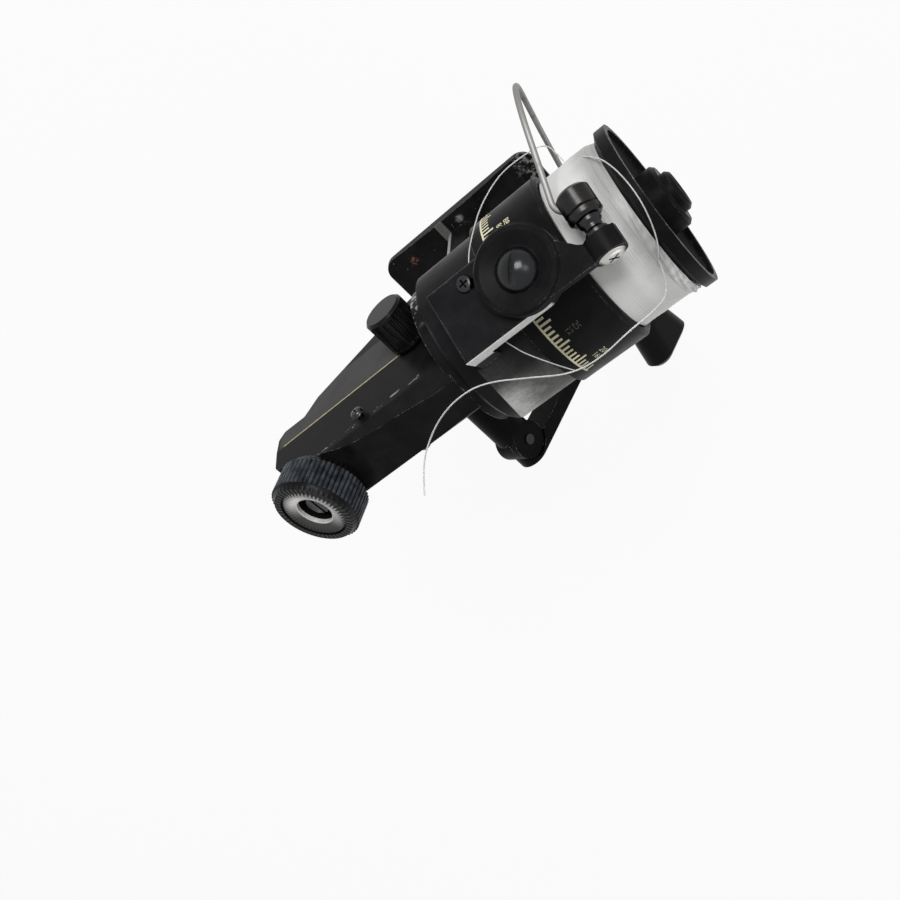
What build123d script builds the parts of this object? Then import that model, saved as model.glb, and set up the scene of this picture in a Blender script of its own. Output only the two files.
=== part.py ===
from build123d import *
from math import atan2, cos, degrees, hypot, pi, radians, sin, sqrt, tan
import os

# A rear-drag spinning reel standing on its foot. X runs forward along the spool's axis and Z away
# from the foot. The crank is on the -Y side. The origin is the middle of the foot's seat.

os.makedirs("parts", exist_ok=True)

# Driving sizes, in millimetres and degrees. Places along X are ahead of the origin.
AXIS_H = 78.0  # main axis above the foot's seat
SPOOL_X = 64.0  # front edge of the spool's lip
HANDLE_X = -17.0  # crank axis
HANDLE_DROP = 4.6  # crank axis nearer the foot than the main axis
PIVOT_X = 29.0  # bail pivots
PIVOT_SIDE = 3.0  # bail pivots beside the main axis
ARM_TURN = 45.0  # turn of the rotor's arms about the main axis
FIT = 0.05  # radial clearance of a running fit
GAP = 0.3  # clearance between faces that pass each other
CUT = 1.0  # how far a cut runs past its face

# Spool and line
SHAFT_R = 1.9
LIP_R = 26.0
LIP_BAND = 3.3
LIP_SLOPE = 2.2
LIP_STEP = 4.0
LIP_WALL = 1.8
BOWL_DEPTH = 4.0
BOWL_SLOPE = 2.5
FLANGE_SLOPE = 1.0
ARBOR_R = 17.0
ARBOR_WALL = 1.6
WIND_L = 17.5
WEB_T = 2.6
SPOOL_HUB_R = 5.0
SPOOL_HUB_L = 16.0
SKIRT_GAP = 0.7
SKIRT_WALL = 0.9
SKIRT_L = 21.5
SKIRT_BEVEL = 1.2
SKIRT_LEAN = 1.4
SKIRT_FOOT = 5.0
CORE_FRONT_R = 23.8  # where the wound line meets the lip
CORE_R = 24.7
CORE_TAPER = 3.0
LINE_D = 0.4
TURNS = 12
QUARTERS = 4
GAP_SAMPLES = 24
FLAT_SHARE = 0.8  # side of the turns' square section, as a share of the line's thickness

# Spool centre
WASHER_R = 10.6
WASHER_T = 0.7
LOBES = 4
LOBE_R = 3.2
CAP_R = 9.6
CAP_L = 7.1
CAP_LIP = 1.0
CAP_FLOOR = 2.0
BUTTON_R = 6.2
BUTTON_RISE = 2.4
BUTTON_TRAVEL = 1.5

# Rotor and its arms
ROTOR_R = 25.7
ROTOR_WALL = 1.4
ROTOR_REAR = -4.0
ROTOR_FRONT = 28.0
ROTOR_WEB_X = 5.5
ROTOR_WEB_T = 2.5
ROTOR_HUB_R = 7.4
ROTOR_HUB_L = 8.0
ARM_GAP = 1.0
ARM_FACE = 33.0  # outer face of the arms' covers, from the main axis
ARM_W = 22.0
ARM_TAIL = 25.8  # arm behind its pivot
ARM_ROOT = 6.5
ARM_SINK = 9.0
COVER_T = 1.8
COVER_SCREW_BACK = 14.3
COVER_SCREW_SIDE = 6.6
SCREW_HEAD_R = 2.6
SCREW_HEAD_H = 1.5
SCREW_R = 1.2
SCREW_L = 4.0
NUT_R = 5.6
NUT_L = 4.0

# Bail
DISC_R = 12.0
DISC_T = 3.6
DISC_RECESS = 1.4
DISC_RIM = 1.3
DISC_EDGE = 0.7
DOME_R = 6.0
DOME_H = 3.6
SLOT_W = 1.8
SLOT_D = 1.5
SLOT_TURN = 55.0
PIVOT_R = 2.4
BOSS_X = 21.6  # line roller's axis ahead of the pivots
BOSS_OUT = 34.2  # line roller's axis from the main axis
BOSS_R = 4.6
BOSS_L = 6.0
BOSS_SIDE = 11.8  # outer end of the boss beside the pivots
ROLLER_R = 3.2
ROLLER_WAIST = 0.7
ROLLER_L = 4.6
COLLAR_R = 4.7
COLLAR_L = 8.4
ROLLER_SCREW_R = 1.4
ROLLER_HEAD_R = 3.7
ROLLER_HEAD_T = 1.0
WIRE_D = 1.7
WIRE_HALF = 31.5  # half the bow's width
WIRE_REACH = 50.8  # bow beyond the pivots
BOW_LEAN = 4.3  # bow ahead of its two ends
WIRE_BEND = 23.0
WIRE_HOOK = 4.2
LUG_R = 4.2
LUG_X = 10.8
LUG_SIDE = 12.0
LUG_DIP = 4.0

# Housing, stem and foot
BODY_HALF = 12.0
CRANK_HALF = 10.6  # half width on the crank's side
COVER_PLATE = 2.2
BODY_FRONT = -6.5
BODY_L = 69.8
BODY_ROUND = 1.5
BODY_BEND = 9.0
NOSE_R = 23.2
NOSE_X = 0.5
NECK_R = 10.0
NECK_X = 4.6
BEARING_R = 8.0
BEARING_L = 5.0
CAVITY_REAR_SHARE = 0.7235  # gear case's rear wall behind the body's front, of the body's length
CAVITY_REAR = BODY_FRONT - BODY_L * CAVITY_REAR_SHARE
CAVITY_FRONT = -10.0
CAVITY_RISE = 8.5
CAVITY_DROP = 12.5
CAVITY_SIDE = 8.5
STEM_L = 36.0
STEM_X = 3.0
STEM_T = 9.6
STEM_ROUND = 2.4
FOOT_L = 67.0
FOOT_W = 21.0
FOOT_CORNER = 5.5
FOOT_EDGE = 1.9
FOOT_T = 4.6
FOOT_BEND = 40.0
SIDE_SCREW_R = 2.3
SIDE_SCREW_ALONG = 24.0
CASE_SCREW_BACK = 32.5
CASE_SCREW_RISE = 13.0
SIDE_SCREW_H = 1.3

# Crank and its gear
AXLE_R = 2.3
BUSH_R = 4.6
HUB_R = 7.4
HUB_BOSS = 3.0
GEAR_R = 13.5
GEAR_T = 3.0
GEAR_HUB_R = 5.0
GEAR_RING = 2.6
GEAR_TEETH = 40
PINION_TEETH = 8
TOOTH_H = 1.1
PINION_R = 3.6
SLEEVE_R = 3.0
SHANK_R = 6.2
ELBOW_OUT = 39.0
ELBOW_R = 6.3
ELBOW_W = 9.6
TONGUE_T = 4.4
PIN_R = 1.2
PIN_HEAD_R = 1.7
PIN_HEAD_H = 0.5
CRANK_L = 72.0
CRANK_TURN = 51.0
CRANK_T = 5.0
CRANK_RISE = 2.6
CRANK_WIDE = 11.0
CRANK_NARROW = 8.4
CRANK_STEP = 40.0
CRANK_RAMP = 12.0
CRANK_SHIFT = 3.0
CRANK_BEND = 6.0
GRIP_L = 28.0
GRIP_W = 23.0
GRIP_T = 12.0
GRIP_ROOT = 10.6
GRIP_PIN_R = 2.2
GRIP_ROUND = 3.4
GRIP_WAIST_SHARE = 0.45
TENSION_R = 6.8
TENSION_L = 13.6
TENSION_FACE = 0.8
TENSION_FLUTES = 20
FLUTE_R = 0.6

# Drag knob
KNOB_BACK_SHARE = 0.8954  # knob's centre behind the body's front, of the body's length
KNOB_RISE = 24.6
KNOB_TILT = 66.5
KNOB_R = 14.1
KNOB_L = 13.0
KNOB_TAPER = 1.6
KNOB_REAR_L = 2.2
KNOB_FACE_L = 1.8
KNOB_RIBS = 56
RIB_H = 0.5
RING_R = 10.5
RING_L = 2.6
HOLE_R = 5.7
HOLE_DEPTH = 5.0
KNOB_SCREW_R = 3.6
KNOB_SCREW_H = 1.6
DRAG_STEM_R = 2.4
DRAG_STEM_L = 8.0
SEAT_HALF = 13.7

# Shaft, slider and loose line
SHAFT_ROOM = 11.0  # from the gear case's rear wall to the shaft's end
SHAFT_REAR = CAVITY_REAR + SHAFT_ROOM
SLIDER_L = 8.0
SLIDER_W = 12.0
SLIDER_H = 13.0
SEAT_RING_R = 3.8
SEAT_RING_L = 1.6
LOOSE_D = 0.4
RUN_SHARE = 0.45  # most of a run that one bend of the loose line may take
LOOSE_POINTS = (
    (57.0, -0.4, 103.7), (57.2, 0.7, 112.4), (56.2, 2.4, 124.4), (53.2, 6.6, 134.0), (46.6, 8.0, 137.0),
    (37.0, 6.4, 137.0), (29.0, 7.2, 136.0), (21.0, 10.6, 132.8), (9.2, 15.2, 128.0), (0.6, 15.6, 127.4),
    (-8.0, 12.6, 125.6), (-15.6, 8.6, 127.0), (-19.8, 5.0, 130.2), (-22.2, 1.8, 134.0),
)

MAIN = Plane(origin=(0, 0, AXIS_H), x_dir=(0, 1, 0), z_dir=(1, 0, 0))
CRANK_H = AXIS_H - HANDLE_DROP
CRANK = Plane(origin=(HANDLE_X, 0, CRANK_H), z_dir=(0, -1, 0),
              x_dir=(cos(radians(CRANK_TURN)), 0, -sin(radians(CRANK_TURN))))
ARMS = Plane(origin=(PIVOT_X, 0, AXIS_H), x_dir=(1, 0, 0),
             z_dir=(0, cos(radians(ARM_TURN)), sin(radians(ARM_TURN))))
PIVOT = Plane(origin=ARMS.from_local_coords(Vector(0, -PIVOT_SIDE, 0)),
              x_dir=ARMS.x_dir, z_dir=ARMS.z_dir)
KNOB_AXIS = Vector(-cos(radians(KNOB_TILT)), 0, sin(radians(KNOB_TILT)))
OUTWARD = Axis(ARMS.origin, ARMS.z_dir)
KNOB = Plane(origin=(BODY_FRONT - BODY_L * KNOB_BACK_SHARE, 0, AXIS_H + KNOB_RISE), x_dir=(0, 1, 0), z_dir=KNOB_AXIS)
ONTO = (Align.CENTER, Align.CENTER, Align.MIN)


def turned(frame, points):
    """Solid of revolution about the frame's z, from (along, radius) points."""
    section = Plane(origin=frame.origin, x_dir=frame.z_dir, z_dir=frame.y_dir)
    face = section * make_face(Polyline(*points, close=True))
    return revolve(face, Axis(frame.origin, frame.z_dir), 360)


def rod(frame, radius, start, end, at=(0, 0)):
    """Cylinder along the frame's z."""
    return frame * Pos(at[0], at[1], start) * Cylinder(radius, end - start, align=ONTO)


def ring(frame, outer, inner, start, end, at=(0, 0)):
    """Tube along the frame's z."""
    return rod(frame, outer, start, end, at) - rod(frame, inner, start - CUT, end + CUT, at)


def slab(frame, face, start, end):
    """Flat outline of the frame's plane, made solid from start to end along its z."""
    return frame * Pos(0, 0, start) * extrude(face, end - start)


def outline(points, radii):
    """Face inside a polygon whose corners are rounded, each by its own radius."""
    return make_face(FilletPolyline(*points, radius=radii, close=True))


STAR_SHARES = (0.0, 0.35, 0.65)  # of one tooth's pitch: its foot and the two ends of its top


def star(outer, inner, count):
    """Toothed outline of straight flanks."""
    corners = []
    for i in range(count):
        for share, radius in zip(STAR_SHARES, (inner, outer, outer)):
            turn = 2 * pi * (i + share) / count
            corners.append((radius * cos(turn), radius * sin(turn)))
    return make_face(Polyline(*corners, close=True))


def across(frame, start, end):
    """Frame whose z points from start to end, both given in another frame's terms."""
    a = frame.from_local_coords(Vector(*start))
    b = frame.from_local_coords(Vector(*end))
    return Plane(origin=a, z_dir=b - a), (b - a).length


# Spool

FLOOR_X = SPOOL_X - BOWL_DEPTH
FLANGE_X = SPOOL_X - LIP_BAND - LIP_SLOPE
WIND_FRONT = FLANGE_X - FLANGE_SLOPE
WIND_REAR = WIND_FRONT - WIND_L
CORE_FRONT = FLANGE_X + (CORE_FRONT_R - LIP_R + LIP_STEP) * LIP_SLOPE / LIP_STEP
SKIRT_IN = ROTOR_R + SKIRT_GAP
SKIRT_R = SKIRT_IN + SKIRT_WALL
SKIRT_REAR = WIND_REAR - SKIRT_L
BORE = SHAFT_R + FIT


def spool():
    back = WIND_REAR - ARBOR_WALL
    web_back = FLOOR_X - WEB_T
    return turned(MAIN, [
        (SPOOL_X, LIP_R), (SPOOL_X - LIP_BAND, LIP_R), (FLANGE_X, LIP_R - LIP_STEP),
        (WIND_FRONT, ARBOR_R), (WIND_REAR, ARBOR_R), (WIND_REAR, SKIRT_R - SKIRT_FOOT),
        (WIND_REAR + SKIRT_LEAN, SKIRT_R - SKIRT_BEVEL), (WIND_REAR + SKIRT_LEAN - SKIRT_BEVEL, SKIRT_R),
        (SKIRT_REAR, SKIRT_R), (SKIRT_REAR, SKIRT_IN), (back, SKIRT_IN), (back, ARBOR_R - ARBOR_WALL),
        (web_back, ARBOR_R - ARBOR_WALL), (web_back, SPOOL_HUB_R),
        (FLOOR_X - SPOOL_HUB_L, SPOOL_HUB_R), (FLOOR_X - SPOOL_HUB_L, BORE), (FLOOR_X, BORE),
        (FLOOR_X, LIP_R - LIP_STEP - LIP_WALL), (FLOOR_X + BOWL_SLOPE, LIP_R - LIP_WALL),
        (SPOOL_X, LIP_R - LIP_WALL),
    ])


def core_radius(x):
    """Radius of the wound line's core, which falls away towards the lip."""
    from_lip = CORE_FRONT - x
    if from_lip >= CORE_TAPER:
        return CORE_R
    return CORE_R - (CORE_R - CORE_FRONT_R) * (1 - from_lip / CORE_TAPER)


def line_core():
    rear = WIND_REAR
    bore = ARBOR_R + FIT
    foot = SKIRT_R - SKIRT_FOOT - FIT
    return turned(MAIN, [
        (rear + FIT, bore), (rear + FIT, foot), (rear + SKIRT_LEAN, CORE_R), (CORE_FRONT - CORE_TAPER, CORE_R),
        (CORE_FRONT - FIT, CORE_FRONT_R), (FLANGE_X - FIT, LIP_R - LIP_STEP), (WIND_FRONT - FIT, bore),
    ])


def line_turns():
    """Outer layer: open turns from the skirt to the lip, as one unbroken sweep on quarter-turn biarcs."""
    first = WIND_REAR + SKIRT_LEAN + LINE_D
    last = CORE_FRONT - LINE_D
    pitch = (last - first) / TURNS
    places = []
    leans = []
    for i in range(TURNS * QUARTERS + 1):
        turn = 2 * pi * i / QUARTERS
        x = first + pitch * i / QUARTERS
        radius = core_radius(x) + LINE_D
        places.append(Vector(x, radius * cos(turn), AXIS_H + radius * sin(turn)))
        leans.append(Vector(pitch / (2 * pi * radius), -sin(turn), cos(turn)).normalized())
    arcs = []
    for a, b, leave, arrive in zip(places, places[1:], leans, leans[1:]):
        arcs += biarc(a, b, leave, arrive)
    path = Wire(arcs)
    print("turns", TURNS, "length", round(path.length), "least gap", round(least_gap(path, pitch), 3))
    side = LINE_D * FLAT_SHARE
    return sweep(Plane(origin=path @ 0, z_dir=path % 0) * Rectangle(side, side), path)


def biarc(a, b, leave, arrive):
    """Two arcs from a to b that meet smoothly, with the given directions at their far ends."""
    chord = b - a
    both = leave + arrive
    slope = chord.dot(both)
    spare = 2 * (1 - leave.dot(arrive))
    reach = (sqrt(slope ** 2 + spare * chord.dot(chord)) - slope) / spare
    middle = (a + b + (leave - arrive) * reach) / 2
    first = TangentArc(a, middle, tangent=leave)
    return [first.edge(), TangentArc(middle, b, tangent=first % 1).edge()]


def least_gap(path, pitch):
    """Least distance between neighbouring turns' surfaces, on points of the path."""
    count = TURNS * GAP_SAMPLES
    places = [path @ (i / count) for i in range(count + 1)]
    best = pitch * TURNS
    for i, a in enumerate(places):
        for b in places[i + GAP_SAMPLES // 2:i + GAP_SAMPLES * 2]:
            best = min(best, (a - b).length)
    return best - LINE_D


def spool_washer():
    """Bright lobed washer under the spool's cap."""
    disc = rod(MAIN, WASHER_R - WASHER_T, FLOOR_X, FLOOR_X + WASHER_T)
    for i in range(LOBES):
        turn = 2 * pi * (i + 0.5) / LOBES
        at = ((WASHER_R - LOBE_R) * cos(turn), (WASHER_R - LOBE_R) * sin(turn))
        disc += rod(MAIN, LOBE_R + WASHER_T, FLOOR_X, FLOOR_X + WASHER_T, at)
    return disc - rod(MAIN, BORE, FLOOR_X - CUT, FLOOR_X + WASHER_T + CUT)


CAP_X = FLOOR_X + WASHER_T
SHAFT_FRONT = CAP_X + CAP_FLOOR


def spool_cap():
    top = CAP_X + CAP_L
    hole = BUTTON_R + FIT
    return turned(MAIN, [
        (CAP_X, BORE), (CAP_X, CAP_R - CAP_LIP), (CAP_X + CAP_LIP, CAP_R), (top - CAP_LIP, CAP_R),
        (top, CAP_R - CAP_LIP), (top, hole), (SHAFT_FRONT, hole), (SHAFT_FRONT, BORE),
    ])


def spool_button():
    start = SHAFT_FRONT + BUTTON_TRAVEL + GAP
    top = CAP_X + CAP_L + BUTTON_RISE
    return turned(MAIN, [
        (start, 0), (start, BUTTON_R), (top - CAP_LIP, BUTTON_R), (top, BUTTON_R - CAP_LIP),
        (top - CAP_LIP / 2, BUTTON_R - CAP_LIP * 2), (top - CAP_LIP / 2, 0),
    ])


# Rotor

ROTOR_HUB_X = NECK_X + GAP
ARM_IN = SKIRT_R + ARM_GAP
COVER_IN = ARM_FACE - COVER_T


def arm_outline():
    """Plan of a rotor's arm: a straight tail and a round front about the pivot."""
    tail = Pos(-ARM_TAIL / 2, -PIVOT_SIDE) * Rectangle(ARM_TAIL, ARM_W)
    return tail + Pos(0, -PIVOT_SIDE) * Circle(ARM_W / 2)


def rotor():
    inner = ROTOR_R - ROTOR_WALL
    web, web_front = ROTOR_WEB_X, ROTOR_WEB_X + ROTOR_WEB_T
    hub, hub_front = ROTOR_HUB_X, ROTOR_HUB_X + ROTOR_HUB_L
    cup = turned(MAIN, [
        (ROTOR_REAR, inner), (ROTOR_REAR, ROTOR_R - SKIRT_WALL), (ROTOR_REAR + SKIRT_WALL, ROTOR_R),
        (ROTOR_FRONT, ROTOR_R), (ROTOR_FRONT, inner), (web_front, inner), (web_front, ROTOR_HUB_R),
        (hub_front, ROTOR_HUB_R), (hub_front, SLEEVE_R), (hub, SLEEVE_R), (hub, ROTOR_HUB_R),
        (web, ROTOR_HUB_R), (web, inner),
    ])
    arm = slab(ARMS, arm_outline(), ARM_IN, COVER_IN)
    root = Pos(-ARM_TAIL + ARM_ROOT / 2, -PIVOT_SIDE) * Rectangle(ARM_ROOT, ARM_W)
    arm += slab(ARMS, root, ARM_IN - ARM_SINK, ARM_IN)
    arm -= rod(MAIN, inner, PIVOT_X - ARM_TAIL - CUT, PIVOT_X)
    arm -= rod(ARMS, PIVOT_R, ARM_IN - CUT, ARM_FACE, (0, -PIVOT_SIDE))
    arm -= rod(ARMS, SCREW_R, COVER_IN - SCREW_L, ARM_FACE, COVER_SCREW_AT)
    return cup + arm + mirror(arm, about=ARMS)


COVER_SCREW_AT = (-COVER_SCREW_BACK, COVER_SCREW_SIDE - PIVOT_SIDE)


def arm_cover():
    plate = slab(ARMS, arm_outline(), COVER_IN, ARM_FACE)
    rim = plate.faces().filter_by(OUTWARD).sort_by(OUTWARD)[-1]
    plate = chamfer(rim.edges(), COVER_T / 4)
    plate -= rod(ARMS, PIVOT_R + FIT, COVER_IN - CUT, ARM_FACE + CUT, (0, -PIVOT_SIDE))
    return plate - rod(ARMS, SCREW_R + FIT, COVER_IN - CUT, ARM_FACE + CUT, COVER_SCREW_AT)


def cover_screw():
    frame = Plane(origin=ARMS.from_local_coords(Vector(*COVER_SCREW_AT, ARM_FACE)), z_dir=ARMS.z_dir)
    return turned(frame, [
        (0, 0), (-COVER_T - SCREW_L, 0), (-COVER_T - SCREW_L, SCREW_R), (0, SCREW_R), (0, SCREW_HEAD_R),
        (SCREW_HEAD_H / 2, SCREW_HEAD_R), (SCREW_HEAD_H, SCREW_HEAD_R / 2), (SCREW_HEAD_H, 0),
    ])


def rotor_nut():
    front = ROTOR_HUB_X + ROTOR_HUB_L
    nut = MAIN * Pos(0, 0, front) * extrude(RegularPolygon(NUT_R, 6), NUT_L)
    return nut - rod(MAIN, SLEEVE_R, front - CUT, front + NUT_L + CUT)


PINION_REAR = HANDLE_X + sqrt((GEAR_R - GEAR_RING / 2) ** 2 - HANDLE_DROP ** 2) - GEAR_RING
PINION_END = PINION_REAR + GEAR_RING * 2


def pinion():
    """Pinion, whose sleeve carries the rotor and lets the main shaft through."""
    teeth = slab(MAIN, star(PINION_R, PINION_R - TOOTH_H / 2, PINION_TEETH), PINION_REAR, PINION_END)
    sleeve = rod(MAIN, SLEEVE_R, PINION_REAR, ROTOR_HUB_X + ROTOR_HUB_L + NUT_L)
    return teeth + sleeve - rod(MAIN, BORE, PINION_REAR - CUT, ROTOR_FRONT)


# Bail, all in the arms' frame: x forward, y towards the closed bow, z out through the near arm

DISC_IN = ARM_FACE + GAP
DISC_OUT = DISC_IN + DISC_T
BOSS_END = -PIVOT_SIDE - BOSS_SIDE
BOSS_IN = BOSS_END + BOSS_L
ROLLER_END = BOSS_IN + GAP + ROLLER_L
COLLAR_IN = ROLLER_END + GAP
COLLAR_END = COLLAR_IN + COLLAR_L
ROLLER_AXIS = Plane(origin=ARMS.from_local_coords(Vector(BOSS_X, 0, BOSS_OUT)),
                    x_dir=ARMS.x_dir, z_dir=ARMS.y_dir)
BOW_Y = WIRE_REACH - PIVOT_SIDE
HOOK_START = (BOSS_X - COLLAR_R / 2, COLLAR_IN + COLLAR_L / 2, WIRE_HALF + WIRE_D / 2)
HOOK_TURN = (BOSS_X - COLLAR_R - WIRE_D, COLLAR_END, WIRE_HALF)
BOW_NEAR = (BOSS_X + BOW_LEAN, BOW_Y, WIRE_HALF)
BOW_FAR = (LUG_X - WIRE_D + BOW_LEAN, BOW_Y, -WIRE_HALF)
WIRE_END = (LUG_X, LUG_SIDE - PIVOT_SIDE, -WIRE_HALF)


def pivot_disc(radius):
    """Disc that turns on a pivot screw."""
    disc = rod(PIVOT, radius, DISC_IN, DISC_OUT)
    top = disc.faces().filter_by(OUTWARD).sort_by(OUTWARD)[-1]
    return chamfer(top.edges(), DISC_EDGE)


def pivot_holes(radius):
    """Bore and dished recess of a disc of the given radius."""
    floor, seat, bore = DISC_OUT - DISC_RECESS, DOME_R + GAP, PIVOT_R + FIT
    brim = radius - DISC_EDGE - DISC_RIM
    return turned(PIVOT, [
        (DISC_IN - CUT, 0), (DISC_IN - CUT, bore), (floor, bore), (floor, seat), (DISC_OUT, brim),
        (DISC_OUT + CUT, brim), (DISC_OUT + CUT, 0),
    ])


def bail_arm():
    """Near arm: the pivot disc, a tapering link and the line roller's boss."""
    link = outline(
        [(-DISC_R / 3, -PIVOT_SIDE - DISC_R + DISC_EDGE), (BOSS_X + BOSS_R, BOSS_END),
         (BOSS_X + BOSS_R, BOSS_IN), (BOSS_X - BOSS_R, BOSS_IN), (DISC_R, -PIVOT_SIDE), (0, -PIVOT_SIDE)],
        [0, 0, 0, DISC_T, DISC_T / 2, 0])
    arm = pivot_disc(DISC_R) + slab(ARMS, link, DISC_IN, DISC_OUT - DISC_RECESS / 2)
    boss = rod(ROLLER_AXIS, BOSS_R, BOSS_END, BOSS_IN)
    bore = rod(ROLLER_AXIS, ROLLER_SCREW_R, BOSS_END - CUT, BOSS_IN + CUT)
    return arm + boss - pivot_holes(DISC_R) - bore


def bail_holder():
    """Far arm: a pivot disc with the lug that takes the wire's end."""
    reach = hypot(LUG_X, LUG_SIDE)
    turn = degrees(atan2(LUG_SIDE, LUG_X))
    link = Pos(0, -PIVOT_SIDE) * Rot(0, 0, turn) * Pos(reach / 2, 0) * Rectangle(reach, LUG_R * 2)
    lug_at = (LUG_X, LUG_SIDE - PIVOT_SIDE)
    radius = DISC_R - DISC_RECESS
    arm = pivot_disc(radius) + slab(ARMS, link, DISC_IN, DISC_OUT - DISC_RECESS / 2)
    arm += rod(ARMS, LUG_R, DISC_IN - LUG_DIP, DISC_OUT - DISC_RECESS / 2, lug_at)
    arm = mirror(arm - pivot_holes(radius), about=ARMS)
    frame, _ = across(ARMS, WIRE_END, BOW_FAR)
    return arm - rod(frame, WIRE_D / 2, 0, LUG_R * 2)


def pivot_screw():
    """Domed screw with a wide slot, on which an arm of the bail turns."""
    base = DISC_OUT - DISC_RECESS + GAP
    at = (0, -PIVOT_SIDE)
    sphere_r = (DOME_R ** 2 + DOME_H ** 2) / (2 * DOME_H)
    dome = ARMS * Pos(*at, base + DOME_H - sphere_r) * Sphere(sphere_r)
    dome &= rod(ARMS, DOME_R, base, base + DOME_H + CUT, at)
    slot = Box(DOME_R * 2 + CUT, SLOT_W, SLOT_D + CUT, align=ONTO)
    dome -= ARMS * Pos(*at, base + DOME_H - SLOT_D) * Rot(0, 0, SLOT_TURN) * slot
    return dome + rod(ARMS, PIVOT_R, ARM_IN, base + DOME_H / 2, at)


def line_roller():
    waist = ROLLER_R - ROLLER_WAIST
    start, end = BOSS_IN + GAP, ROLLER_END
    edge = ROLLER_L / 5
    bore = ROLLER_SCREW_R + FIT
    return turned(ROLLER_AXIS, [
        (start, bore), (start, ROLLER_R), (start + edge, ROLLER_R), (start + edge * 2, waist),
        (end - edge * 2, waist), (end - edge, ROLLER_R), (end, ROLLER_R), (end, bore),
    ])


def roller_screw():
    end = COLLAR_IN + COLLAR_L / 3
    head = BOSS_END - ROLLER_HEAD_T
    return turned(ROLLER_AXIS, [
        (head, 0), (head, ROLLER_HEAD_R - ROLLER_HEAD_T / 2), (head + ROLLER_HEAD_T / 2, ROLLER_HEAD_R),
        (BOSS_END, ROLLER_HEAD_R), (BOSS_END, ROLLER_SCREW_R), (end, ROLLER_SCREW_R), (end, 0),
    ])


def wire_collar():
    """Round collar between the line roller and the wire."""
    edge = COLLAR_R / 6
    depth = COLLAR_IN + COLLAR_L / 3
    groove = COLLAR_IN + COLLAR_L / 4
    collar = turned(ROLLER_AXIS, [
        (depth, 0), (depth, ROLLER_SCREW_R), (COLLAR_IN, ROLLER_SCREW_R), (COLLAR_IN, COLLAR_R - edge),
        (COLLAR_IN + edge, COLLAR_R), (groove, COLLAR_R), (groove + edge / 2, COLLAR_R - edge / 2),
        (groove + edge, COLLAR_R), (COLLAR_END - edge, COLLAR_R), (COLLAR_END, COLLAR_R - edge),
        (COLLAR_END, 0),
    ])
    frame, length = across(ARMS, HOOK_START, HOOK_TURN)
    return collar - rod(frame, WIRE_D / 2, 0, length)


def bail_wire():
    corners = (HOOK_START, HOOK_TURN, BOW_NEAR, BOW_FAR, WIRE_END)
    points = [ARMS.from_local_coords(Vector(*p)) for p in corners]
    path = FilletPolyline(*points, radius=[WIRE_HOOK, WIRE_BEND, WIRE_BEND])
    section = Plane(origin=path @ 0, z_dir=path % 0) * Circle(WIRE_D / 2)
    return sweep(section, path.wire())


# Housing

COVER_Y = -CRANK_HALF + COVER_PLATE
BODY_REAR = BODY_FRONT - BODY_L
SEAT_MID = KNOB.from_local_coords(Vector(0, 0, -KNOB_L - GAP))
SEAT_ALONG = Vector(sin(radians(KNOB_TILT)), 0, cos(radians(KNOB_TILT)))
SEAT_REAR = SEAT_MID - SEAT_ALONG * SEAT_HALF
SEAT_FRONT = SEAT_MID + SEAT_ALONG * SEAT_HALF

# Side view, from the front: shares of the body's length behind its front, and of the nose's radius
BODY_LOW_SHARES = ((0.0, 1.0), (0.11, 1.0), (0.39, 0.925), (0.56, 0.855))
BODY_HIGH_SHARES = (
    (0.995, -0.33), (0.96, -0.444), (0.83, -0.431), (0.75, -0.68), (0.38, -1.147), (0.0, -1.5))
# View along the spool's axis: shares of the body's half width and of the nose's radius
BODY_SECTION_SHARES = (
    (-0.8833, -1.6), (1.0, -1.6), (1.0, -0.04), (0.86, 0.72), (0.62, 1.02), (-0.41, 1.02), (-0.8833, 0.58))
# Side view of the stem: shares of its length behind its front, and of its height
STEM_FRONT_SHARES = ((0.0, 0.04), (0.03, 0.36), (0.14, 0.58), (0.26, 0.73), (0.26, 1.1))
STEM_REAR_SHARES = ((1.0, 1.1), (1.0, 1.0), (0.75, 0.64), (0.5, 0.58), (0.33, 0.38), (0.28, 0.04))


def side_solid(points, radii, low, high):
    """Outline in X and Z with rounded corners, made solid between two Y."""
    face = Plane.XZ * make_face(FilletPolyline(*points, radius=radii, close=True))
    return Pos(0, high, 0) * extrude(face, high - low, dir=(0, -1, 0))


def body_form(low, high):
    """The gear housing's outer form between two Y: its side view, cut to its section."""
    lower = [(BODY_FRONT - BODY_L * a, AXIS_H + NOSE_R * b) for a, b in BODY_LOW_SHARES]
    upper = [(BODY_FRONT - BODY_L * a, AXIS_H + NOSE_R * b) for a, b in BODY_HIGH_SHARES]
    points = [*lower, (SEAT_FRONT.X, SEAT_FRONT.Z), (SEAT_REAR.X, SEAT_REAR.Z), *upper]
    bends = [0, BODY_BEND, BODY_BEND, BODY_BEND, BODY_ROUND, BODY_ROUND]
    side = side_solid(points, bends + [BODY_ROUND] * (len(upper) - 1) + [0], low, high)
    corners = [(BODY_HALF * a, AXIS_H + NOSE_R * b) for a, b in BODY_SECTION_SHARES]
    radii = [0, 0, BODY_ROUND, BODY_ROUND * 2, BODY_ROUND * 2, BODY_ROUND * 2, BODY_ROUND * 2]
    section = Plane(origin=(BODY_REAR - CUT, 0, 0), x_dir=(0, 1, 0), z_dir=(1, 0, 0))
    return side & slab(section, outline(corners, radii), 0, BODY_L + CUT * 2)


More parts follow.
